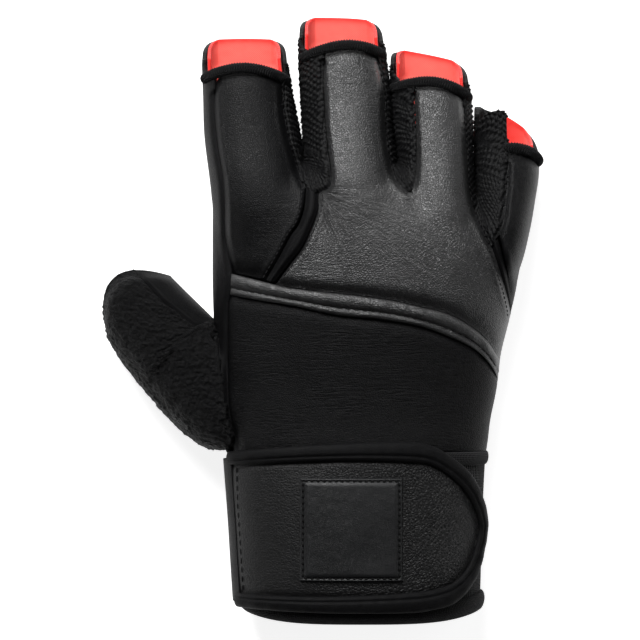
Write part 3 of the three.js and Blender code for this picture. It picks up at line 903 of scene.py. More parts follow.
@dataclass(frozen=True)
class Lining:
    """Smooth red knit, pale salmon in the middle as a painted highlight and deep red along its edges as
    painted shade.
    """

    # color is the red with its painted highlight; edge is the deep red of the painted shade.
    color: tuple[float, float, float] = (0.95, 0.14, 0.11)
    edge: tuple[float, float, float] = (0.86, 0.006, 0.002)

    def make(self, name: str) -> bpy.types.Material:
        """Returns the material."""
        s = Shader(name)
        u, v = s.run()
        knit = (u * 9000).sine() * (v * 9000).sine()
        soft = s.noise(300, 3.0, 0.5)
        fine = s.noise(4000, 3.0, 0.6)
        # The mesh attribute that holds the painted shade along the lining's sides and end; the soft
        # noise is the knit's own uneven tone.
        rim = Value(s.tree, s.node("ShaderNodeAttribute").outputs["Fac"])
        s.tree.nodes[-1].attribute_name = "Edge"
        tone = rim * 0.9 + soft * 0.25 - 0.1
        s.set(
            Base_Color=s.mix(tone.ramp(0.0, 1.0), self.color, self.edge),
            Roughness=fine * 0.2 + 0.5,
            Specular_IOR_Level=0.4,
            Sheen_Weight=0.3,
            Sheen_Tint=(1.0, 0.75, 0.7, 1.0),
        )
        s.bump((knit, 0.05), (soft, 0.35), (fine, 0.06))
        return s.material


class Finish(Enum):
    """The glove's finishes."""

    LEATHER = Leather(grain=0.7, depth=0.075, fan=0.11, lines=0.045, gloss=0.8)
    FINGER = Leather(grain=0.6, depth=0.06, lines=0.03, gloss=0.13)
    LOWER = Leather(grain=0.7, depth=0.09, roughness=0.5, lines=0.14, gloss=0.11)
    STRAP = Leather(grain=1.0, depth=0.22, roughness=0.5, lines=0.04, fade=True, gloss=0.3)
    PALM = Leather(grain=1.1, depth=0.12, roughness=0.62, gloss=0.3)
    SMOOTH = Leather(grain=0.5, depth=0.05, roughness=0.55, gloss=0.08)
    # The patch's lighter tone is tinted blue-grey as a painted sheen on its own dark colour.
    PATCH = Leather(grain=0.4, depth=0.03, light=(0.006, 0.0065, 0.0075), gloss=0.38)
    TAPE = Fabric(pitch=0.62, depth=0.1)
    RIB = Fabric(pitch=0.95, depth=0.24, cross=0.0, color=(0.0035, 0.0035, 0.004))
    CUFF = Fabric(pitch=0.9, depth=0.14)
    MESH = Pile(color=(0.003, 0.003, 0.0033), fibre=3400, depth=0.1, fuzz=0.02, roughness=0.5)
    TERRY = Pile(color=(0.003, 0.003, 0.0033), fibre=2200, depth=0.45, fuzz=0.03, roughness=0.5)
    THREAD = Fabric(pitch=0.25, depth=0.05, color=(0.009, 0.009, 0.0095), fuzz=0.1)
    # Near-black thread: black thread, darkened further as painted shade in the stitch holes and the
    # groove.
    DARK = Fabric(pitch=0.25, depth=0.05, color=(0.0015, 0.0015, 0.0016), fuzz=0.0)
    RED = Lining()

    def material(self) -> bpy.types.Material:
        """Returns this finish's one material, made when first asked for."""
        name = f"look {self.name.lower()}"
        return bpy.data.materials.get(name) or self.value.make(name)


def place(
    piece: bpy.types.Object, finish: Finish, slot: str, *nodes: str
) -> bpy.types.Object:
    """Gives a piece its finish, hangs it from the root and hides the solids that it stands for."""
    piece.data.materials.clear()
    piece.data.materials.append(finish.material())
    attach(piece, "root")
    if nodes:
        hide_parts(*nodes)
    LOG.info("%s: %d faces", piece.name, len(piece.data.polygons))
    return piece


def normals_of(grid: Points) -> Points:
    """Returns the unit normals of a grid of points, facing up on the whole."""
    across = np.gradient(grid, axis=1)
    along = np.gradient(grid, axis=0)
    normal = np.cross(across, along)
    normal /= np.maximum(np.linalg.norm(normal, axis=2, keepdims=True), 1e-9)
    return normal


def pushed(grid: Points, amount: Points, outward: float = 1.0) -> Points:
    """Returns a grid moved along its normals by amount, in millimetres."""
    normal = normals_of(grid) * outward
    return grid + normal * amount[..., None]


def run_of(grid: Points) -> tuple[Points, Points]:
    """Returns each point's distance across and along the grid, in millimetres."""
    across = np.linalg.norm(np.diff(grid, axis=1), axis=2)
    along = np.linalg.norm(np.diff(grid, axis=0), axis=2)
    u = np.concatenate([np.zeros((len(grid), 1)), np.cumsum(across, axis=1)], axis=1)
    v = np.concatenate([np.zeros((1, grid.shape[1])), np.cumsum(along, axis=0)])
    return u, v


def fleck(u: Points, v: Points, pitch: float, seed: int) -> Points:
    """Returns smooth random values from 0 to 1 with cells of a given width."""
    a, b = u / pitch + 50, v / pitch + 50
    table = np.random.default_rng(seed).random((int(a.max()) + 3, int(b.max()) + 3))
    i, j = a.astype(int), b.astype(int)
    p, q = a - i, b - j
    p, q = p * p * (3 - 2 * p), q * q * (3 - 2 * q)
    low = table[i, j] * (1 - p) + table[i + 1, j] * p
    high = table[i, j + 1] * (1 - p) + table[i + 1, j + 1] * p
    return low * (1 - q) + high * q


@dataclass(frozen=True)
class Spliced:
    """Two lines run as one, the first up to a fixed share.

    Args:
        first: The line up to the share.
        second: The line from there on.
        knot: That share.
    """

    first: Line
    second: Line
    knot: float

    def at(self, share: Points) -> Points:
        """Returns plan points at shares of the spliced line."""
        low = self.first.at(np.minimum(share / self.knot, 1))
        high = self.second.at(np.maximum((share - self.knot) / (1 - self.knot), 0))
        return np.where((share < self.knot)[..., None], low, high)

    def length(self) -> float:
        """Returns the whole length in millimetres."""
        return self.first.length() + self.second.length()


def fill_grid(mesh: bmesh.types.BMesh, outer: Points, edge: Points | None = None) -> None:
    """Adds a grid of points to a mesh, with its run as UV.

    Args:
        mesh: The mesh to add to.
        outer: Points (rows, columns, 3), millimetres.
        edge: The share of painted shade at each point, from 0 to 1, kept as the mesh's painted-shade
            attribute.
    """
    rows, columns = outer.shape[:2]
    uv = mesh.loops.layers.uv.get("Run") or mesh.loops.layers.uv.new("Run")
    rim = mesh.verts.layers.float.get("Edge") or mesh.verts.layers.float.new("Edge")
    made = bmesh.ops.create_grid(mesh, x_segments=columns - 1, y_segments=rows - 1, size=1.0)
    verts = made["verts"]
    flat = np.array([v.co[:] for v in verts])
    i = np.rint((flat[:, 0] + 1) / 2 * (columns - 1)).astype(int)
    j = np.rint((flat[:, 1] + 1) / 2 * (rows - 1)).astype(int)
    u, v = run_of(outer)
    runs = {}
    for vert, a, b in zip(verts, i, j):
        vert.co = outer[b, a] * MM
        runs[vert] = (u[b, a] * MM, v[b, a] * MM)
        if edge is not None:
            vert[rim] = edge[b, a]
    for face in {f for vert in verts for f in vert.link_faces}:
        for loop in face.loops:
            loop[uv].uv = runs[loop.vert]


def sheet_piece(
    name: str,
    grids: Sequence[Points],
    thickness: float,
    weld: float = 0.02,
    inward: Points | None = None,
    edges: Sequence[Points] | None = None,
) -> bpy.types.Object:
    """Makes one sheet from grids that share their borders.

    Args:
        name: The new object's name.
        grids: Grids of points, millimetres.
        thickness: How thick the sheet is, millimetres; 0 leaves a closed body as it is.
        weld: Points closer than this become one, millimetres.
        inward: A point behind the sheet, millimetres.
        edges: The painted-shade attribute's values for each grid.
    """
    mesh = bmesh.new()
    for k, grid in enumerate(grids):
        fill_grid(mesh, grid, None if edges is None else edges[k])
    bmesh.ops.remove_doubles(mesh, verts=mesh.verts[:], dist=weld * MM)
    return finish_mesh(name, mesh, thickness, inward)


def sweep(path: Points, out: Points, wide: Points, thick: Points, sides: int) -> Points:
    """Returns the grid of a rounded cord swept along a path.

    Args:
        path: Points along the middle of the cord.
        out: Unit vectors out of the surface at those points.
        wide: Half widths along the surface.
        thick: Half heights out of the surface.
        sides: How many points go round.
    """
    along = np.gradient(path, axis=0)
    along /= np.maximum(np.linalg.norm(along, axis=1, keepdims=True), 1e-9)
    out = out - along * np.sum(out * along, axis=1, keepdims=True)
    out /= np.maximum(np.linalg.norm(out, axis=1, keepdims=True), 1e-9)
    across = np.cross(along, out)
    turns = np.linspace(0, 2 * math.pi, sides + 1)
    cos, sin = np.cos(turns), np.sin(turns)
    return (
        path[:, None, :]
        + across[:, None, :] * (wide[:, None] * cos)[..., None]
        + out[:, None, :] * (thick[:, None] * sin)[..., None]
    )


def tapered(count: int, share: float = 0.02) -> Points:
    """Returns a row of ones that falls to nothing at both ends."""
    t = np.linspace(0, 1, count)
    near = np.minimum(t, 1 - t) / share
    return np.sqrt(np.clip(1 - (1 - np.minimum(near, 1)) ** 2, 0, 1))


def stitches(
    name: str,
    paths: Sequence[Points],
    pitch: float = 2.6,
    length: float = 1.9,
    radius: float = 0.26,
) -> bpy.types.Object:
    """Makes a row of stitches along each path.

    Args:
        name: The new object's name.
        paths: Points along each row, millimetres.
        pitch: From one stitch to the next.
        length: A stitch's length.
        radius: A stitch's radius.
    """
    mesh = bmesh.new()
    for path in paths:
        steps = np.linalg.norm(np.diff(path, axis=0), axis=1)
        run = np.concatenate([[0], np.cumsum(steps)])
        count = max(1, int(run[-1] / pitch))
        for n in range(count):
            ends = []
            for d in (-length / 2, length / 2):
                at = (n + 0.5) * run[-1] / count + d
                ends.append(Vector([float(np.interp(at, run, path[:, c])) for c in range(3)]))
            lean = (ends[1] - ends[0]).normalized()
            turn = Vector((1, 0, 0)).rotation_difference(lean).to_matrix().to_4x4()
            made = bmesh.ops.create_uvsphere(mesh, u_segments=8, v_segments=5, radius=MM)
            for vert in made["verts"]:
                p = vert.co
                vert.co = turn @ Vector((p.z * length / 2, p.x * radius, p.y * radius))
                vert.co += (ends[0] + ends[1]) * (MM / 2)
    return finish_mesh(name, mesh, 0)


def on_skin(line: Line, count: int, lift: float = 0.0) -> Points:
    """Returns points along a plan line on the skin, lifted by some millimetres."""
    xy = line.at(np.linspace(0, 1, count))
    z = SKIN.top(xy[:, 0], xy[:, 1]) + lift
    return np.column_stack([xy, z])


def shifted(line: Line, by: float) -> Line:
    """Returns a plan line moved to its left by some millimetres."""
    p = line.points
    run = np.gradient(p, axis=0)
    run /= np.maximum(np.linalg.norm(run, axis=1, keepdims=True), 1e-9)
    return Line(p + np.column_stack([-run[:, 1], run[:, 0]]) * by)


@dataclass(frozen=True)
class Rim:
    """A finger's open end.

    Args:
        s: The rim's middle over the back, a share of the palm's width.
        reach: How much farther the palm side runs.
        sag: How far the corners fall back.
        tilt: The slope across the finger.
        roll: The turn about the finger, degrees.
        hold: How much of the sag is kept on the palm side.
    """

    s: float
    reach: float
    sag: float
    tilt: float
    roll: float
    hold: float = 0.0

    def station(self, of: Tube, across: Points, z: Points) -> Points:
        """Returns the rim's station at places across the finger and up."""
        left, right, top = (float(of.column(k, np.array(self.s))) for k in (1, 2, 3))
        half = (right - left) / 2 * PALM_WIDTH
        height = top * HAND_DEPTH
        dx = across - (left + right) / 2 * PALM_WIDTH
        dz = z - height / 2
        turn = math.radians(self.roll)
        x = (dx * math.cos(turn) - dz * math.sin(turn)) / half
        up = (dx * math.sin(turn) + dz * math.cos(turn)) / height + 0.5
        drop = np.clip(1 - up, 0, 1)
        bow = self.sag * np.minimum(x * x, 1.3) * (1 - drop * (1 - self.hold))
        return self.s + self.reach * drop - bow + self.tilt * dx / PALM_WIDTH


@dataclass(frozen=True)
class Finger:
    """A finger's tube and its open end.

    Args:
        name: The finger's name.
        tube: Its sections.
        rim: Its open end.
        corners: The turns at which the binding starts and ends, degrees.
    """

    name: str
    tube: Tube
    rim: Rim
    corners: Pair = (-20.0, 200.0)

    def edge(self, turns: Points, shift: float = 0.0, grow: float = 0.0) -> Points:
        """Returns points on the rim at turns round the finger.

        Args:
            turns: Turns round the finger in radians.
            shift: How far past the rim, millimetres.
            grow: How far out of the leather, millimetres.
        """
        s = np.full(len(turns), self.rim.s)
        for _ in range(6):
            ring = np.vstack(
                [self.tube.ring(float(a), np.array([t]), grow) for a, t in zip(s, turns)]
            )
            across = self.tube.local(ring[:, 0], ring[:, 1])[1]
            s = self.rim.station(self.tube, across, ring[:, 2]) + shift / PALM_WIDTH
        return np.vstack([self.tube.ring(float(a), np.array([t]), grow) for a, t in zip(s, turns)])

    def turn_at(self, x: float, left: bool) -> float:
        """Returns the turn at which the rim's back crosses x."""
        turns = np.linspace(math.pi / 2, math.pi if left else 0.0, 60)
        across = self.edge(turns)[:, 0]
        return float(turns[np.argmin(np.abs(across - x))])


INDEX_FINGER = Finger("index", INDEX, Rim(0.888, 0.1, 0.075, 0, 0), (10, 170))
MIDDLE_FINGER = Finger("middle", MIDDLE, Rim(0.963, 0.095, 0.07, 0.03, 8), (10, 170))
RING_FINGER = Finger("ring", RING, Rim(0.843, 0.09, 0.055, -0.14, 8), (10, 170))
PINKY_FINGER = Finger("pinky", PINKY, Rim(0.633, 0.1, 0.06, -0.3, 25), (8, 97))
THUMB_RIM = Rim(0.635, 0.0, 0.1, -0.03, 0, 1.0)
FINGERS = (INDEX_FINGER, MIDDLE_FINGER, RING_FINGER, PINKY_FINGER)


def line(*points: Pair, smooth: bool = True) -> Line:
    """Returns a plan line through points given in millimetres."""
    return Line.through(*points, smooth=smooth)


def plan_of(points: Points) -> Line:
    """Returns the plan line of some points in space."""
    return Line(np.asarray(points)[:, :2])


@dataclass(frozen=True)
class Back:
    """The leather over the back of the hand and the fingers.

    Args:
        thickness: The leather's thickness, millimetres.
    """

    thickness: float = 1.5

    def index_panel(self) -> bpy.types.Object:
        """Returns the back of the index finger."""
        patch = Patch(
            INDEX_LEFT,
            Spliced(STRIP_INDEX_LEFT, INDEX_RIGHT, 0.5),
            high=line((-47.2, 81.6), (-43.4, 85.6), (-36, 87.4), (-28.6, 86.6), (-24.4, 83.4)),
            size=(130, 60),
        )
        grid = patch.grid(patch.rolled(True, True))
        return sheet_piece("index panel", [grid], self.thickness)

    def knuckle_strip(self) -> bpy.types.Object:
        """Returns the narrow strip from the index web to the band."""
        patch = Patch(STRIP_INDEX_LEFT, STRIP_INDEX_RIGHT, size=(70, 16))
        lift = lambda u, v, at: 0.1 * np.sin(np.pi * u)
        return sheet_piece("index knuckle strip", [patch.grid(lift)], self.thickness)

    def back_panel(self) -> bpy.types.Object:
        """Returns the panel over the knuckles and the two middle fingers."""
        web_left = line((-12.1, 44.9), (0, 45.7), (17.4, 45.5))
        web_right = line((17.4, 45.5), (28, 44.8), (38.5, 43))
        knot = 70 / 120
        start = side(HAND, 2, -0.103, 0.03, 8)
        right = start + STRIP_PINKY_LEFT + RING_WEB
        low = Line(BAND_TOP.points[BAND_TOP.points[:, 0] > -26.8])
        knuckles = Patch(
            STRIP_INDEX_RIGHT, right, low, Spliced(web_left, web_right, knot), size=(110, 121),
            lean=2.2,
        )
        middle = Patch(
            MIDDLE_LEFT, MIDDLE_RIGHT, web_left,
            line((-10.8, 91), (-7, 93.6), (-1.2, 95), (4.2, 94.3), (8, 91.6)), size=(100, 71),
        )
        ring = Patch(
            RING_LEFT, RING_RIGHT, web_right,
            line((19.5, 80.4), (23, 82.2), (27.6, 82.7), (32.2, 81.6), (36.1, 79.4)),
            size=(80, 51),
        )
        grids = [
            knuckles.grid(knuckles.rolled(True, False)),
            middle.grid(middle.rolled(False, True)),
            ring.grid(ring.rolled(False, True)),
        ]
        return sheet_piece("back panel", grids, self.thickness)

    def pinky_strip(self) -> bpy.types.Object:
        """Returns the narrow strip from the little finger's web to the outer side."""
        patch = Patch(STRIP_PINKY_LEFT, STRIP_PINKY_RIGHT, size=(60, 10))
        lift = lambda u, v, at: 0.3 * np.sin(np.pi * u)
        return sheet_piece("pinky knuckle strip", [patch.grid(lift)], self.thickness)

    def pinky_panel(self) -> bpy.types.Object:
        """Returns the back and outer side of the little finger."""
        outline = side(HAND, 2, 0.085, 0.15, 6) + side(PINKY, 2, 0.21, 0.556)
        patch = Patch(
            Spliced(STRIP_PINKY_RIGHT, PINKY_LEFT, 0.45),
            outline,
            high=line((50.6, 60.5), (53, 61), (56.5, 60.3), (59.6, 58.6), (61.9, 55.6)),
            size=(110, 44),
            even=True,
        )
        return sheet_piece("pinky panel", [patch.grid(patch.rolled(False, True))], self.thickness)

    def lower_panel(self) -> bpy.types.Object:
        """Returns the panel between the band and the cuff."""
        patch = Patch(
            line((-38.3, -43.4), (-38.4, -41)) + LOWER_LEFT,
            line((43.5, -43.4), (43.6, -41)) + side(HAND, 2, -0.395, -0.17),
            high=BAND_BOTTOM, size=(80, 110), even=True,
        )
        grid = patch.grid(patch.rolled(False, True, 1.0, 1.6))
        return sheet_piece("lower back panel", [grid], self.thickness)

    def band(self) -> bpy.types.Object:
        """Returns the folded band: a wide ridge, a stitched groove and a narrow ridge."""
        patch = Patch(
            line((-41.4, 11.4), (-41, 18.7)),
            line((47.8, -17), (48.4, -10.3)),
            BAND_BOTTOM,
            BAND_TOP,
            size=(34, 220),
            even=True,
            top=SKIN.bare,
        )

        def ridges(u: Points, v: Points, at: Points) -> Points:
            knot = 0.35
            narrow = 0.95 * np.sin(np.pi * np.clip(v / knot, 0, 1)) ** 0.6
            broad = 1.5 * np.sin(np.pi * np.clip((v - knot) / (1 - knot), 0, 1)) ** 0.5
            waver = 0.12 * np.sin(u * 41) + 0.08 * np.sin(u * 97 + 1)
            ends = -0.9 * np.exp(-((u / 0.012) ** 2))
            return np.where(v < knot, narrow, broad) * (1 + waver) - 0.35 + ends

        return sheet_piece("back band", [patch.grid(ridges)], 1.9)

    def side_strip(self) -> bpy.types.Object:
        """Returns the strip down the thumb side, from the index tip to the cuff."""
        turn = INDEX_FINGER.turn_at(-47.2, left=True)
        rim = plan_of(INDEX_FINGER.edge(np.linspace(math.pi, turn, 12), -1.6))
        top = float(rim.points[0, 1]) / PALM_WIDTH
        outline = side(HAND, 1, 0.05, 0.44, 14) + side(INDEX, 1, 0.5, top, 20)
        patch = Patch(
            Spliced(line((-41, -43), (-41, -41)) + THUMB_ROOT, outline, 0.34),
            Spliced(
                line((-38.3, -43), (-38.4, -41)) + LOWER_LEFT,
                Line(np.vstack([INDEX_LEFT.points, rim.points[-1]])),
                0.38,
            ),
            low=line((-41, -43), (-38.3, -43)),
            high=rim,
            size=(200, 26),
            even=True,
        )
        return sheet_piece("thumb side strip", [patch.grid()], self.thickness)

    def build(self) -> None:
        """Builds and places every panel."""
        place(self.index_panel(), Finish.FINGER, "leather", "index_panel")
        place(self.knuckle_strip(), Finish.SMOOTH, "leather", "index_knuckle_strip")
        place(self.back_panel(), Finish.LEATHER, "leather", "back_panel")
        place(self.pinky_strip(), Finish.SMOOTH, "leather", "pinky_knuckle_strip")
        place(self.pinky_panel(), Finish.FINGER, "leather", "pinky_panel")
        place(self.lower_panel(), Finish.LOWER, "leather", "lower_back_panel")
        place(self.band(), Finish.LEATHER, "leather", "back_band")
        place(self.side_strip(), Finish.SMOOTH, "leather", "thumb_side_strip")


@dataclass(frozen=True)
class Gusset:
    """A mesh gusset that faces two fingers from the web between them.

    Args:
        name: The piece's name.
        node: The solid that it stands for.
        fingers: The fingers on its left and on its right.
        seams: Its seams with those fingers, from the web up.
        valley: The fold between the fingers, from the web to where they part.
        corners: Where each seam meets its finger's rim, x in millimetres.
        knot: The share of the rows that the fold takes.
        crown: The right wall's own rim in plan, where it covers part of the opening.
    """

    name: str
    node: str
    fingers: tuple[Finger, Finger]
    seams: tuple[Line, Line]
    valley: Line
    corners: Pair
    knot: float = 0.3
    crown: Line | None = None

    def walls(self) -> list[Points]:
        """Returns the grids of the two walls."""
        grids = []
        for k, finger in enumerate(self.fingers):
            left = k == 1
            turn = finger.turn_at(self.corners[k], left)
            ends = np.linspace(math.pi if left else 0.0, turn, 10)
            rim = plan_of(finger.edge(ends, -1.6))
            if left and self.crown is not None:
                rim = self.crown
            part = self.valley.points[-1, 1] / PALM_WIDTH + 0.02
            top = float(rim.points[0, 1]) / PALM_WIDTH
            outline = side(finger.tube, 1 if left else 2, part, top, 20)
            fold = Spliced(self.valley, outline, self.knot)
            seam = Line(np.vstack([self.seams[k].points, rim.points[-1]]))
            rows = int(seam.length() / 0.42)
            if left:
                patch = Patch(fold, seam, high=rim, size=(rows, 64), even=True)
            else:
                patch = Patch(seam, fold, high=rim.back(), size=(rows, 64), even=True)
            grid = patch.grid()
            u, v = run_of(grid)
            grids.append(pushed(grid, self.bumps(u, v, left)))
        return grids

    def bumps(self, u: Points, v: Points, left: bool) -> Points:
        """Returns the mesh's cells at places on a wall, in millimetres."""
        a, b = u / 1.75, v / 1.75
        shift = fleck(u, v, 4.0, 3 + left) - 0.5
        a, b = a + shift * 0.5, b + shift * 0.4
        waves = [np.cos(2 * math.pi * (a * math.cos(t) + b * math.sin(t))) for t in
                 (0, math.pi / 3, 2 * math.pi / 3)]
        field = sum(waves) / 3
        lean = 0.35 + 0.65 * fleck(u, v, 1.3, 9)
        return 0.75 * np.clip(field, -0.35, 1) * lean + 0.2 * fleck(u, v, 0.6, 11)

    def build(self) -> None:
        """Builds and places the gusset."""
        walls = self.walls()
        inside = [self.valley.points[0, 0], self.valley.points[0, 1] - 20, 12]
        piece = sheet_piece(self.name, walls, 1.1, weld=0.01, inward=np.array(inside))
        place(piece, Finish.MESH, "mesh", self.node)


@dataclass(frozen=True)
class Tip:
    """The binding and the red lining at a finger's open end.

    Args:
        finger: The finger.
        width: The binding's width, millimetres.
        sleeve: The turns from which and to which the lining goes round, degrees.
    """

    finger: Finger
    width: float = 3.5
    sleeve: Pair = (168, 372)

    def binding(self) -> bpy.types.Object:
        """Returns the rolled binding over the back of the rim."""
        first, last = (math.radians(a) for a in self.finger.corners)
        turns = np.linspace(first, last, 400)
        rim = replace(self.finger.rim, reach=0.012, sag=0.042, hold=1.0)
        arc = replace(self.finger, rim=rim)
        path = (arc.edge(turns, -self.width) + arc.edge(turns, 0)) / 2
        out = arc.edge(turns, -self.width / 2, 1.0) - arc.edge(turns, -self.width / 2, -1.0)
        out /= np.linalg.norm(out, axis=1, keepdims=True)
        ends = tapered(len(turns), 0.12)
        grid = sweep(path + out * 0.05, out, self.width / 2 * ends, 1.15 * ends, 14)
        length = np.concatenate([[0], np.cumsum(np.linalg.norm(np.diff(path, axis=0), axis=1))])
        ribs = 0.1 * np.sin(2 * math.pi * length / 0.85)
        grid = path[:, None] + (grid - path[:, None]) * (1 + ribs[:, None, None])
        return sheet_piece(f"{self.finger.name} binding", [grid], 0)

    def lining(self) -> bpy.types.Object:
        """Returns the red lining, from inside the finger to its palm-side end."""
        turns = np.radians(np.linspace(*self.sleeve, 72))
        end = self.finger.edge(turns, 0.45, -1.9)
        start = self.finger.rim.s - 0.16
        rows = []
        for k, turn in enumerate(turns):
            last = float(self.finger.tube.local(end[k, 0], end[k, 1])[0])
            rows.append(
                np.vstack(
                    [
                        self.finger.tube.ring(
                            start + (last - start) * t,
                            np.array([turn]),
                            -3.8 + 1.9 * min(1.0, max(0.0, (t - 0.52) / 0.14)),
                        )
                        for t in np.linspace(0, 1, 44)
                    ]
                )
            )
        grid = np.stack(rows, axis=1)
        u, v = run_of(grid)
        # Painted shade: deep red along the lining's sides and its palm-side end; the pale salmon
        # between is a painted highlight.
        shade_side_gap = np.minimum(u, u[:, -1:] - u)
        edge = np.exp(-(shade_side_gap / 10.5) ** 2) + np.exp(-(((v[-1:] - v) / 1.4) ** 2))
        return sheet_piece(
            f"{self.finger.name} lining", [grid], 1.0, inward=grid.mean(axis=(0, 1)),
            edges=[np.clip(edge, 0, 1)],
        )

    def build(self) -> None:
        """Builds and places both pieces."""
        name = self.finger.name
        place(self.binding(), Finish.RIB, "binding", f"{name}_binding")
        place(self.lining(), Finish.RED, "red_lining", f"{name}_lining")


THUMB_END = Finger("thumb", THUMB, THUMB_RIM, (0, 180))


def near_turn(finger: Finger, point: Points) -> float:
    """Returns the turn over a finger's back at which its rim passes nearest a plan point."""
    turns = np.linspace(0, math.pi, 120)
    gap = np.linalg.norm(finger.edge(turns)[:, :2] - point, axis=1)
    return float(turns[np.argmin(gap)])


THUMB_HEEL = (-49.6, -39.8)
THUMB_HEEL_INNER = (-41, -39.8)


@dataclass(frozen=True)
class Thumb:
    """The thumb: terry outside, smooth leather by the index finger, a palm side.

    Args:
        reach: How far the terry runs past the solid's rim, millimetres.
        pile: The height of the terry's tufts, millimetres.
    """

    reach: float = 2.6
    pile: float = 0.8

    def outline(self, key: int, start: float) -> Line:
        """Returns the thumb's outline from a station to its rim."""
        turn = 0.0 if key == 2 else math.pi
        rim = plan_of(THUMB_END.edge(np.array([turn]), self.reach))
        end = float(THUMB.local(rim.points[0, 0], rim.points[0, 1])[0])
        return side(THUMB, key, start, end, 40)

    def rim(self, start: float, end: float) -> Line:
        """Returns the rim in plan between two turns."""
        return plan_of(THUMB_END.edge(np.linspace(start, end, 30), self.reach))

    def terry(self) -> bpy.types.Object:
        """Returns the terry over the thumb's back."""
        turn = near_turn(THUMB_END, THUMB_EDGE.points[-1])
        rim = self.rim(math.pi, turn)
        edge = Line(np.vstack([THUMB_EDGE.points, rim.points[-1]]))
        outline = Line(np.vstack([THUMB_HEEL, self.outline(1, 0.04).points]))
        patch = Patch(
            outline,
            Spliced(THUMB_ROOT, edge, 0.56),
            low=line(THUMB_HEEL, THUMB_HEEL_INNER),
            high=rim,
            size=(230, 150),
            even=True,
            top=Skin(blend=4.0).bare,
        )
        grid = patch.grid(patch.rolled(False, True, 4.2, 2.6))
        u, v = run_of(grid)
        tufts = fleck(u, v, 1.25, 21) * 0.65 + fleck(u, v, 0.62, 22) * 0.35
        lumps = fleck(u, v, 5.0, 23) - 0.5
        grid = pushed(grid, self.pile * (tufts**1.3) + 0.5 * lumps)
        return sheet_piece("thumb terry", [grid], 1.6)

    def leather(self) -> bpy.types.Object:
        """Returns the smooth leather on the side towards the index finger."""
        outline = self.outline(2, 0.327)
        turn = near_turn(THUMB_END, THUMB_EDGE.points[-1])
        rim = self.rim(turn, 0.0)
        edge = Line(np.vstack([THUMB_EDGE.points, rim.points[0]]))
        patch = Patch(edge, outline, high=rim, size=(90, 36), even=True)
        return sheet_piece("thumb leather", [patch.grid(patch.rolled(False, True, 3.0, 2.2))], 1.4)

    def sole(self) -> bpy.types.Object:
        """Returns the thumb's palm side."""
        outer = Line(np.vstack([THUMB_HEEL, self.outline(1, 0.04).points]))
        inner = self.outline(2, 0.327)
        patch = Patch(
            outer,
            Spliced(THUMB_ROOT, inner, 0.56),
            low=line(THUMB_HEEL, THUMB_HEEL_INNER),
            high=self.rim(math.pi, 0.0),
            size=(90, 70),
            even=True,
            top=SKIN.under,
        )
        return sheet_piece("thumb palm", [patch.grid()], 1.6, inward=np.array([-62, -5, 40.0]))

    def build(self) -> None:
        """Builds and places the thumb."""
        place(self.terry(), Finish.TERRY, "terry", "thumb_terry")
        place(self.leather(), Finish.SMOOTH, "smooth_leather", "thumb_leather")
        place(self.sole(), Finish.PALM, "palm_leather", "thumb_palm")


@dataclass(frozen=True)
class Palm:
    """The palm's leather, with the four finger soles.

    Args:
        thickness: The leather's thickness, millimetres.
    """

    thickness: float = 1.6

    def build(self) -> None:
        """Builds and places the palm."""
        hand = Patch(
            side(HAND, 1, -0.395, 0.46, 40),
            side(HAND, 2, -0.395, 0.46, 40),
            size=(90, 70),
            even=True,
            top=SKIN.under,
        )
        grids = [hand.grid()]
        for finger in FINGERS:
            rims = plan_of(finger.edge(np.linspace(math.pi, 2 * math.pi, 24), -0.8))
            ends = [
                float(finger.tube.local(p[0], p[1])[0]) for p in (rims.points[0], rims.points[-1])
            ]
            start = 0.2 if finger.name == "pinky" else 0.4
            sole = Patch(
                side(finger.tube, 1, start, ends[0], 30),
                side(finger.tube, 2, start, ends[1], 30),
                high=rims,
                size=(50, 30),
                even=True,
                top=lambda x, y, of=finger.tube: np.maximum(of.height(x, y, up=False), 0.0),
            )
            grids.append(sole.grid(lambda u, v, at: np.full_like(v, 0.06)))
        piece = sheet_piece(
            "palm panel", grids, self.thickness, weld=0.001, inward=np.array([0, 10, 26.0])
        )
        place(piece, Finish.PALM, "palm_leather", "palm_panel")


STRAP_LEFT = share((-0.39, -0.905), (-0.398, -0.742), (-0.409, -0.57), (-0.414, -0.41))
STRAP_OUTER = share(
    (-0.415, -0.402), (-0.347, -0.395), (-0.177, -0.382), (0.028, -0.375), (0.198, -0.378),
    (0.266, -0.392), (0.327, -0.429), (0.388, -0.483), (0.426, -0.552), (0.446, -0.627),
    (0.436, -0.708), (0.409, -0.803), (0.347, -0.878), (0.266, -0.905), (0.163, -0.916),
    (-0.109, -0.922), (-0.387, -0.916),
)
STRAP_INNER = share(
    (-0.415, -0.446), (-0.177, -0.43), (0.028, -0.423), (0.19, -0.426), (0.245, -0.438),
    (0.3, -0.472), (0.348, -0.52), (0.38, -0.58), (0.398, -0.653), (0.388, -0.72),
    (0.36, -0.79), (0.31, -0.84), (0.25, -0.86), (0.16, -0.87), (-0.109, -0.875),
    (-0.39, -0.87),
)


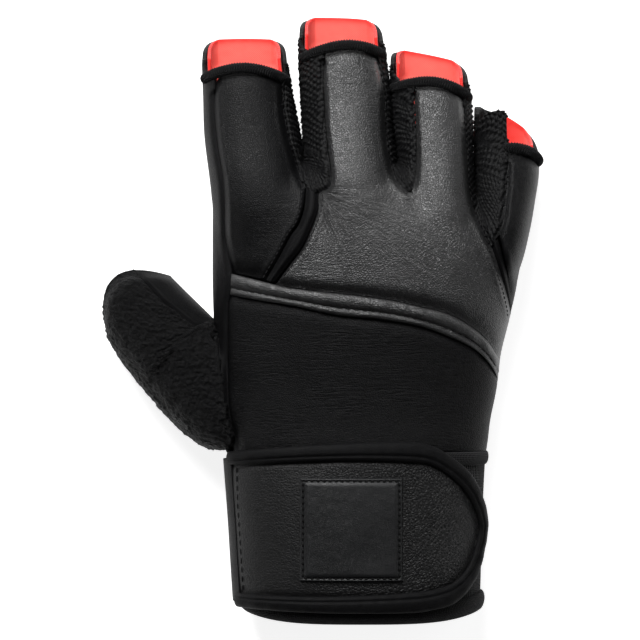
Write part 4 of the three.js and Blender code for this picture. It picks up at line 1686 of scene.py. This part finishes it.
@dataclass(frozen=True)
class Cuff:
    """The elastic cuff and its two bindings.

    Args:
        front: Where it starts under the hand, shares of the palm's width.
        back: Its open end.
    """

    front: float = -0.406
    back: float = -0.955

    def band(self, start: float, end: float, grow: float, puff: float, bow: float = 0) -> Points:
        """Returns the grid of a band round the wrist.

        Args:
            start: The band's finger side, a share of the palm's width.
            end: Its other side.
            grow: How far out of the wrist it lies, millimetres.
            puff: How much thicker it is in its middle, millimetres.
            bow: How far its ends rise towards the fingers, millimetres.
        """
        turns = np.linspace(0, 2 * math.pi, 161)
        rows = []
        for t in np.linspace(0, 1, 26):
            bulge = puff * math.sqrt(max(0.0, 1 - (2 * t - 1) ** 2))
            row = WRIST.ring(start + (end - start) * t, turns, grow + bulge)
            row[:, 1] += bow * np.minimum(np.abs(row[:, 0] - 2) / 41, 1) ** 4
            rows.append(row)
        return np.stack(rows)

    def build(self) -> None:
        """Builds and places the cuff."""
        middle = np.array([2.0, -68.0, 20.0])
        base = self.band(self.front, self.back + 0.03, -0.3, 0.0)
        piece = sheet_piece("cuff base", [base], 2.2, inward=middle)
        place(piece, Finish.CUFF, "binding", "cuff_base")
        top = self.band(-0.402, -0.447, -0.25, 1.0)
        piece = sheet_piece("cuff binding top", [top], 1.2, inward=middle)
        place(piece, Finish.TAPE, "binding", "cuff_binding_top")
        low = self.band(-0.905, -0.965, -0.2, 1.5, 4.2)
        piece = sheet_piece("cuff binding bottom", [low], 2.4, inward=middle)
        place(piece, Finish.TAPE, "binding", "cuff_binding_bottom")


@dataclass(frozen=True)
class Strap:
    """The closing strap: a rounded face, its raised binding, a patch and the wrap.

    Args:
        grow: How far its face lies out of the wrist, millimetres.
    """

    grow: float = 2.7

    def over(self, x: Points, y: Points) -> Points:
        """Returns the height of the strap's face."""
        return WRIST.height(x, y, grow=self.grow)

    def face(self) -> bpy.types.Object:
        """Returns the strap's leather face."""
        high = share(
            (-0.415, -0.43), (-0.177, -0.414), (0.028, -0.408), (0.19, -0.411), (0.26, -0.428)
        )
        low = share(
            (-0.39, -0.885), (-0.109, -0.89), (0.15, -0.885), (0.26, -0.873)
        )
        right = share(
            (0.26, -0.873), (0.33, -0.845), (0.385, -0.77), (0.418, -0.65), (0.396, -0.56),
            (0.34, -0.48), (0.26, -0.428),
        )
        left = share((-0.39, -0.885), (-0.398, -0.742), (-0.409, -0.57), (-0.415, -0.43))
        patch = Patch(left, right, low, high, size=(100, 130), top=self.over)

        def lift(u: Points, v: Points, at: Points) -> Points:
            x, y = at[..., 0], at[..., 1]
            near = STRAP_INNER.distance(x, y)
            puff = 0.5 * (1 - np.exp(-((near / 6.0) ** 2)))
            soft = fleck(x + 60, y + 110, 11.0, 31) - 0.5
            return puff + 0.5 * soft - 0.6 * np.exp(-((near / 1.2) ** 2))

        return sheet_piece("strap face", [patch.grid(lift)], 2.0)

    def binding(self) -> bpy.types.Object:
        """Returns the raised binding round the strap."""
        t = np.linspace(0, 1, 620)
        outer, inner = STRAP_OUTER.at(t), STRAP_INNER.at(t)
        wide = np.linalg.norm(outer - inner, axis=1) / 2
        xy = (outer + inner) / 2
        z = self.over(xy[:, 0], xy[:, 1])
        step = 0.5
        dx = (self.over(xy[:, 0] + step, xy[:, 1]) - self.over(xy[:, 0] - step, xy[:, 1])) / 2 / step
        dy = (self.over(xy[:, 0], xy[:, 1] + step) - self.over(xy[:, 0], xy[:, 1] - step)) / 2 / step
        out = np.column_stack([-dx, -dy, np.ones_like(dx)])
        out /= np.linalg.norm(out, axis=1, keepdims=True)
        path = np.column_stack([xy, z]) + out * 0.1
        thick = 1.35 + 0.08 * np.sin(np.arange(len(t)) * 0.37)
        grid = sweep(path, out, wide * 1.02, thick, 44)
        cos = np.cos(np.linspace(0, 2 * math.pi, 45))
        groove = 0.5 * np.exp(-(((cos - 0.36) / 0.11) ** 2)) * (np.arange(45) < 22)
        grid = grid - out[:, None, :] * groove[None, :, None]
        return sheet_piece("strap binding", [grid], 0)

    def wrap(self) -> bpy.types.Object:
        """Returns the part of the strap that goes round under the wrist."""
        turns = np.radians(np.linspace(158, 315, 150))
        rows = [
            WRIST.ring(s, turns, self.grow + 0.3) for s in np.linspace(-0.43, -0.9, 60)
        ]
        middle = np.array([2.0, -68.0, 20.0])
        return sheet_piece("strap wrap", [np.stack(rows)], 1.8, inward=middle)

    def patch(self) -> bpy.types.Object:
        """Returns the plain square patch with its raised pad."""
        square = Patch(
            line((-18.4, -82.3), (-18.4, -48.3)),
            line((15.4, -82.3), (15.4, -48.3)),
            size=(110, 110),
            top=self.over,
        )

        def lift(u: Points, v: Points, at: Points) -> Points:
            rim = np.minimum(np.minimum(u, 1 - u), np.minimum(v, 1 - v)) * 34
            base = 1.2 * np.clip(rim / 0.45, 0, 1) ** 0.5
            pad = 0.4 * np.clip((rim - 1.4) / 1.2, 0, 1) ** 0.6
            groove = -0.5 * np.exp(-(((rim - 1.15) / 0.3) ** 2))
            soft = 0.25 * (fleck(at[..., 0] + 60, at[..., 1] + 110, 9.0, 33) - 0.5)
            return base + pad + groove + soft

        return sheet_piece("strap patch", [square.grid(lift)], 1.2)

    def build(self) -> None:
        """Builds and places the strap."""
        place(self.face(), Finish.STRAP, "leather", "strap_face")
        place(self.binding(), Finish.SMOOTH, "binding", "strap_binding")
        place(self.wrap(), Finish.SMOOTH, "leather", "strap_wrap")
        place(self.patch(), Finish.PATCH, "patch", "strap_patch")


@dataclass(frozen=True)
class Sewing:
    """The visible rows of stitches.

    Args:
        panel: From one stitch to the next beside the knuckle strips, millimetres.
        band: The same in the groove of the band.
        strap: The same along the strap's binding.
        patch: The same round the strap's patch.
    """

    panel: float = 1.7
    band: float = 2.7
    strap: float = 2.9
    patch: float = 1.9

    def build(self) -> None:
        """Builds and places the rows of stitches."""
        rows = [
            on_skin(shifted(STRIP_INDEX_LEFT, 1.2), 200, 0.1),
            on_skin(shifted(STRIP_INDEX_RIGHT, -1.2), 200, 0.1),
            on_skin(shifted(STRIP_PINKY_LEFT, 1.1), 120, 0.1),
        ]
        name = "panel stitches"
        place(stitches(name, rows, self.panel, 1.2, 0.2), Finish.THREAD, "leather")
        at = np.linspace(0.015, 0.985, 300)
        groove = BAND_BOTTOM.at(at) * 0.65 + BAND_TOP.at(at) * 0.35
        z = SKIN.bare(groove[:, 0], groove[:, 1]) - 0.15
        path = np.column_stack([groove, z])
        place(stitches("band stitches", [path], self.band, 1.9, 0.3), Finish.THREAD, "leather")
        strap = Strap()
        ring = STRAP_OUTER.at(at) * 0.34 + STRAP_INNER.at(at) * 0.66
        path = np.column_stack([ring, strap.over(ring[:, 0], ring[:, 1]) + 0.85])
        edge = STRAP_LEFT.at(at) + np.array([2.0, 0.0])
        left = np.column_stack([edge, strap.over(edge[:, 0], edge[:, 1]) + 0.25])
        piece = stitches("strap stitches", [path, left], self.strap, 2.1, 0.27)
        # The strap's stitches are near black: black thread with painted shade of the groove and holes.
        place(piece, Finish.DARK, "leather")
        low, high = (-17.25, -81.15), (14.25, -49.45)
        corners = [low, (low[0], high[1]), high, (high[0], low[1])]
        paths = []
        for a, b in zip(corners, corners[1:] + corners[:1]):
            xy = np.linspace(a, b, 60)
            paths.append(np.column_stack([xy, strap.over(xy[:, 0], xy[:, 1]) + 0.95]))
        piece = stitches("patch stitches", paths, self.patch, 1.2, 0.4)
        # The patch's stitches are near black as painted shade in their holes.
        place(piece, Finish.DARK, "patch")


@dataclass(frozen=True)
class Studio:
    """The white floor, the soft lights and the camera straight above.

    Args:
        spot: The point under the camera, millimetres.
        height: The camera's height, metres.
        lens: The camera's focal length, millimetres.
        floor_gap: How far the floor lies under the glove's flat underside, millimetres.
        floor_glow: How strongly the floor glows, so that it reads as white.
        sky: The strength of the light from all round.
    """

    spot: Pair = (-11.7, 3.3)
    height: float = 1.2
    lens: float = 199.0
    floor_gap: float = 0.3
    floor_glow: float = 0.85
    sky: float = 0.06

    def light(self, name: str, where: Sequence[float], size: float, power: float) -> None:
        """Adds a soft square light that looks at the glove."""
        data = bpy.data.lights.new(name, "AREA")
        data.size = size
        data.energy = power
        lamp = bpy.data.objects.new(name, data)
        lamp.location = where
        aim = Vector((-0.01, 0, 0.02)) - Vector(where)
        lamp.rotation_euler = aim.to_track_quat("-Z", "Y").to_euler()
        bpy.context.scene.collection.objects.link(lamp)

    def build(self) -> None:
        """Builds the studio."""
        mesh = bmesh.new()
        bmesh.ops.create_grid(mesh, x_segments=1, y_segments=1, size=4.0)
        data = bpy.data.meshes.new("floor")
        mesh.to_mesh(data)
        mesh.free()
        floor = bpy.data.objects.new("floor", data)
        floor.location.z = -self.floor_gap * MM
        bpy.context.scene.collection.objects.link(floor)
        shader = Shader("floor white")
        shader.set(
            Base_Color=(0.75, 0.75, 0.75, 1.0),
            Roughness=0.9,
            Emission_Color=(1.0, 1.0, 1.0, 1.0),
            Emission_Strength=self.floor_glow,
        )
        data.materials.append(shader.material)
        world = bpy.data.worlds.new("studio")
        world.use_nodes = True
        world.node_tree.nodes["Background"].inputs["Color"].default_value = (1, 1, 1, 1)
        world.node_tree.nodes["Background"].inputs["Strength"].default_value = self.sky
        bpy.context.scene.world = world
        bpy.context.scene.view_settings.view_transform = "Standard"
        self.light("key", (-0.3, 0.98, 0.86), 0.7, 27)
        self.light("fill", (0.7, 0.2, 1.0), 0.6, 1.5)
        camera = bpy.data.cameras.new("camera")
        camera.lens = self.lens
        camera.sensor_width = 36
        camera.clip_end = 20
        holder = bpy.data.objects.new("camera", camera)
        holder.location = (self.spot[0] * MM, self.spot[1] * MM, self.height)
        bpy.context.scene.collection.objects.link(holder)
        bpy.context.scene.camera = holder


def valleys() -> list[Gusset]:
    """Returns the three gussets between the fingers."""
    return [
        Gusset(
            "index gusset", "gusset_index_middle", (INDEX_FINGER, MIDDLE_FINGER),
            (
                INDEX_RIGHT,
                Line(np.vstack([STRIP_INDEX_RIGHT.points[-1:], MIDDLE_LEFT.points])),
            ),
            line((-13.6, 45.7), (-16.2, 52), (-17.2, 60)), (-24.2, -10.8),
        ),
        Gusset(
            "middle gusset", "gusset_middle_ring", (MIDDLE_FINGER, RING_FINGER),
            (MIDDLE_RIGHT, RING_LEFT),
            line((17.4, 45.5), (15.2, 52), (13.9, 58), (13, 65), (12.1, 74), (11.7, 84)),
            (8.0, 19.5), 0.75,
        ),
        Gusset(
            "ring gusset", "gusset_ring_pinky", (RING_FINGER, PINKY_FINGER),
            (RING_WEB + RING_RIGHT, PINKY_LEFT),
            line((45.8, 28.8), (42, 37), (39.9, 46), (39.7, 56), (39.8, 64)), (36.1, 50.6), 0.6,
            line((40.8, 66.8), (42.2, 70.4), (44.6, 72.4), (47.8, 73), (50.4, 72.2)),
        ),
    ]


def main() -> None:
    """Builds the glove and its studio."""
    logging.basicConfig(level=logging.INFO, format="%(name)s %(message)s")
    Back().build()
    for gusset in valleys():
        gusset.build()
    for finger in FINGERS[:3]:
        Tip(finger).build()
    Tip(PINKY_FINGER, sleeve=(268, 374)).build()
    Thumb().build()
    Palm().build()
    Cuff().build()
    Strap().build()
    Sewing().build()
    Studio().build()
    bpy.context.view_layer.update()


if __name__ == "__main__":
    main()
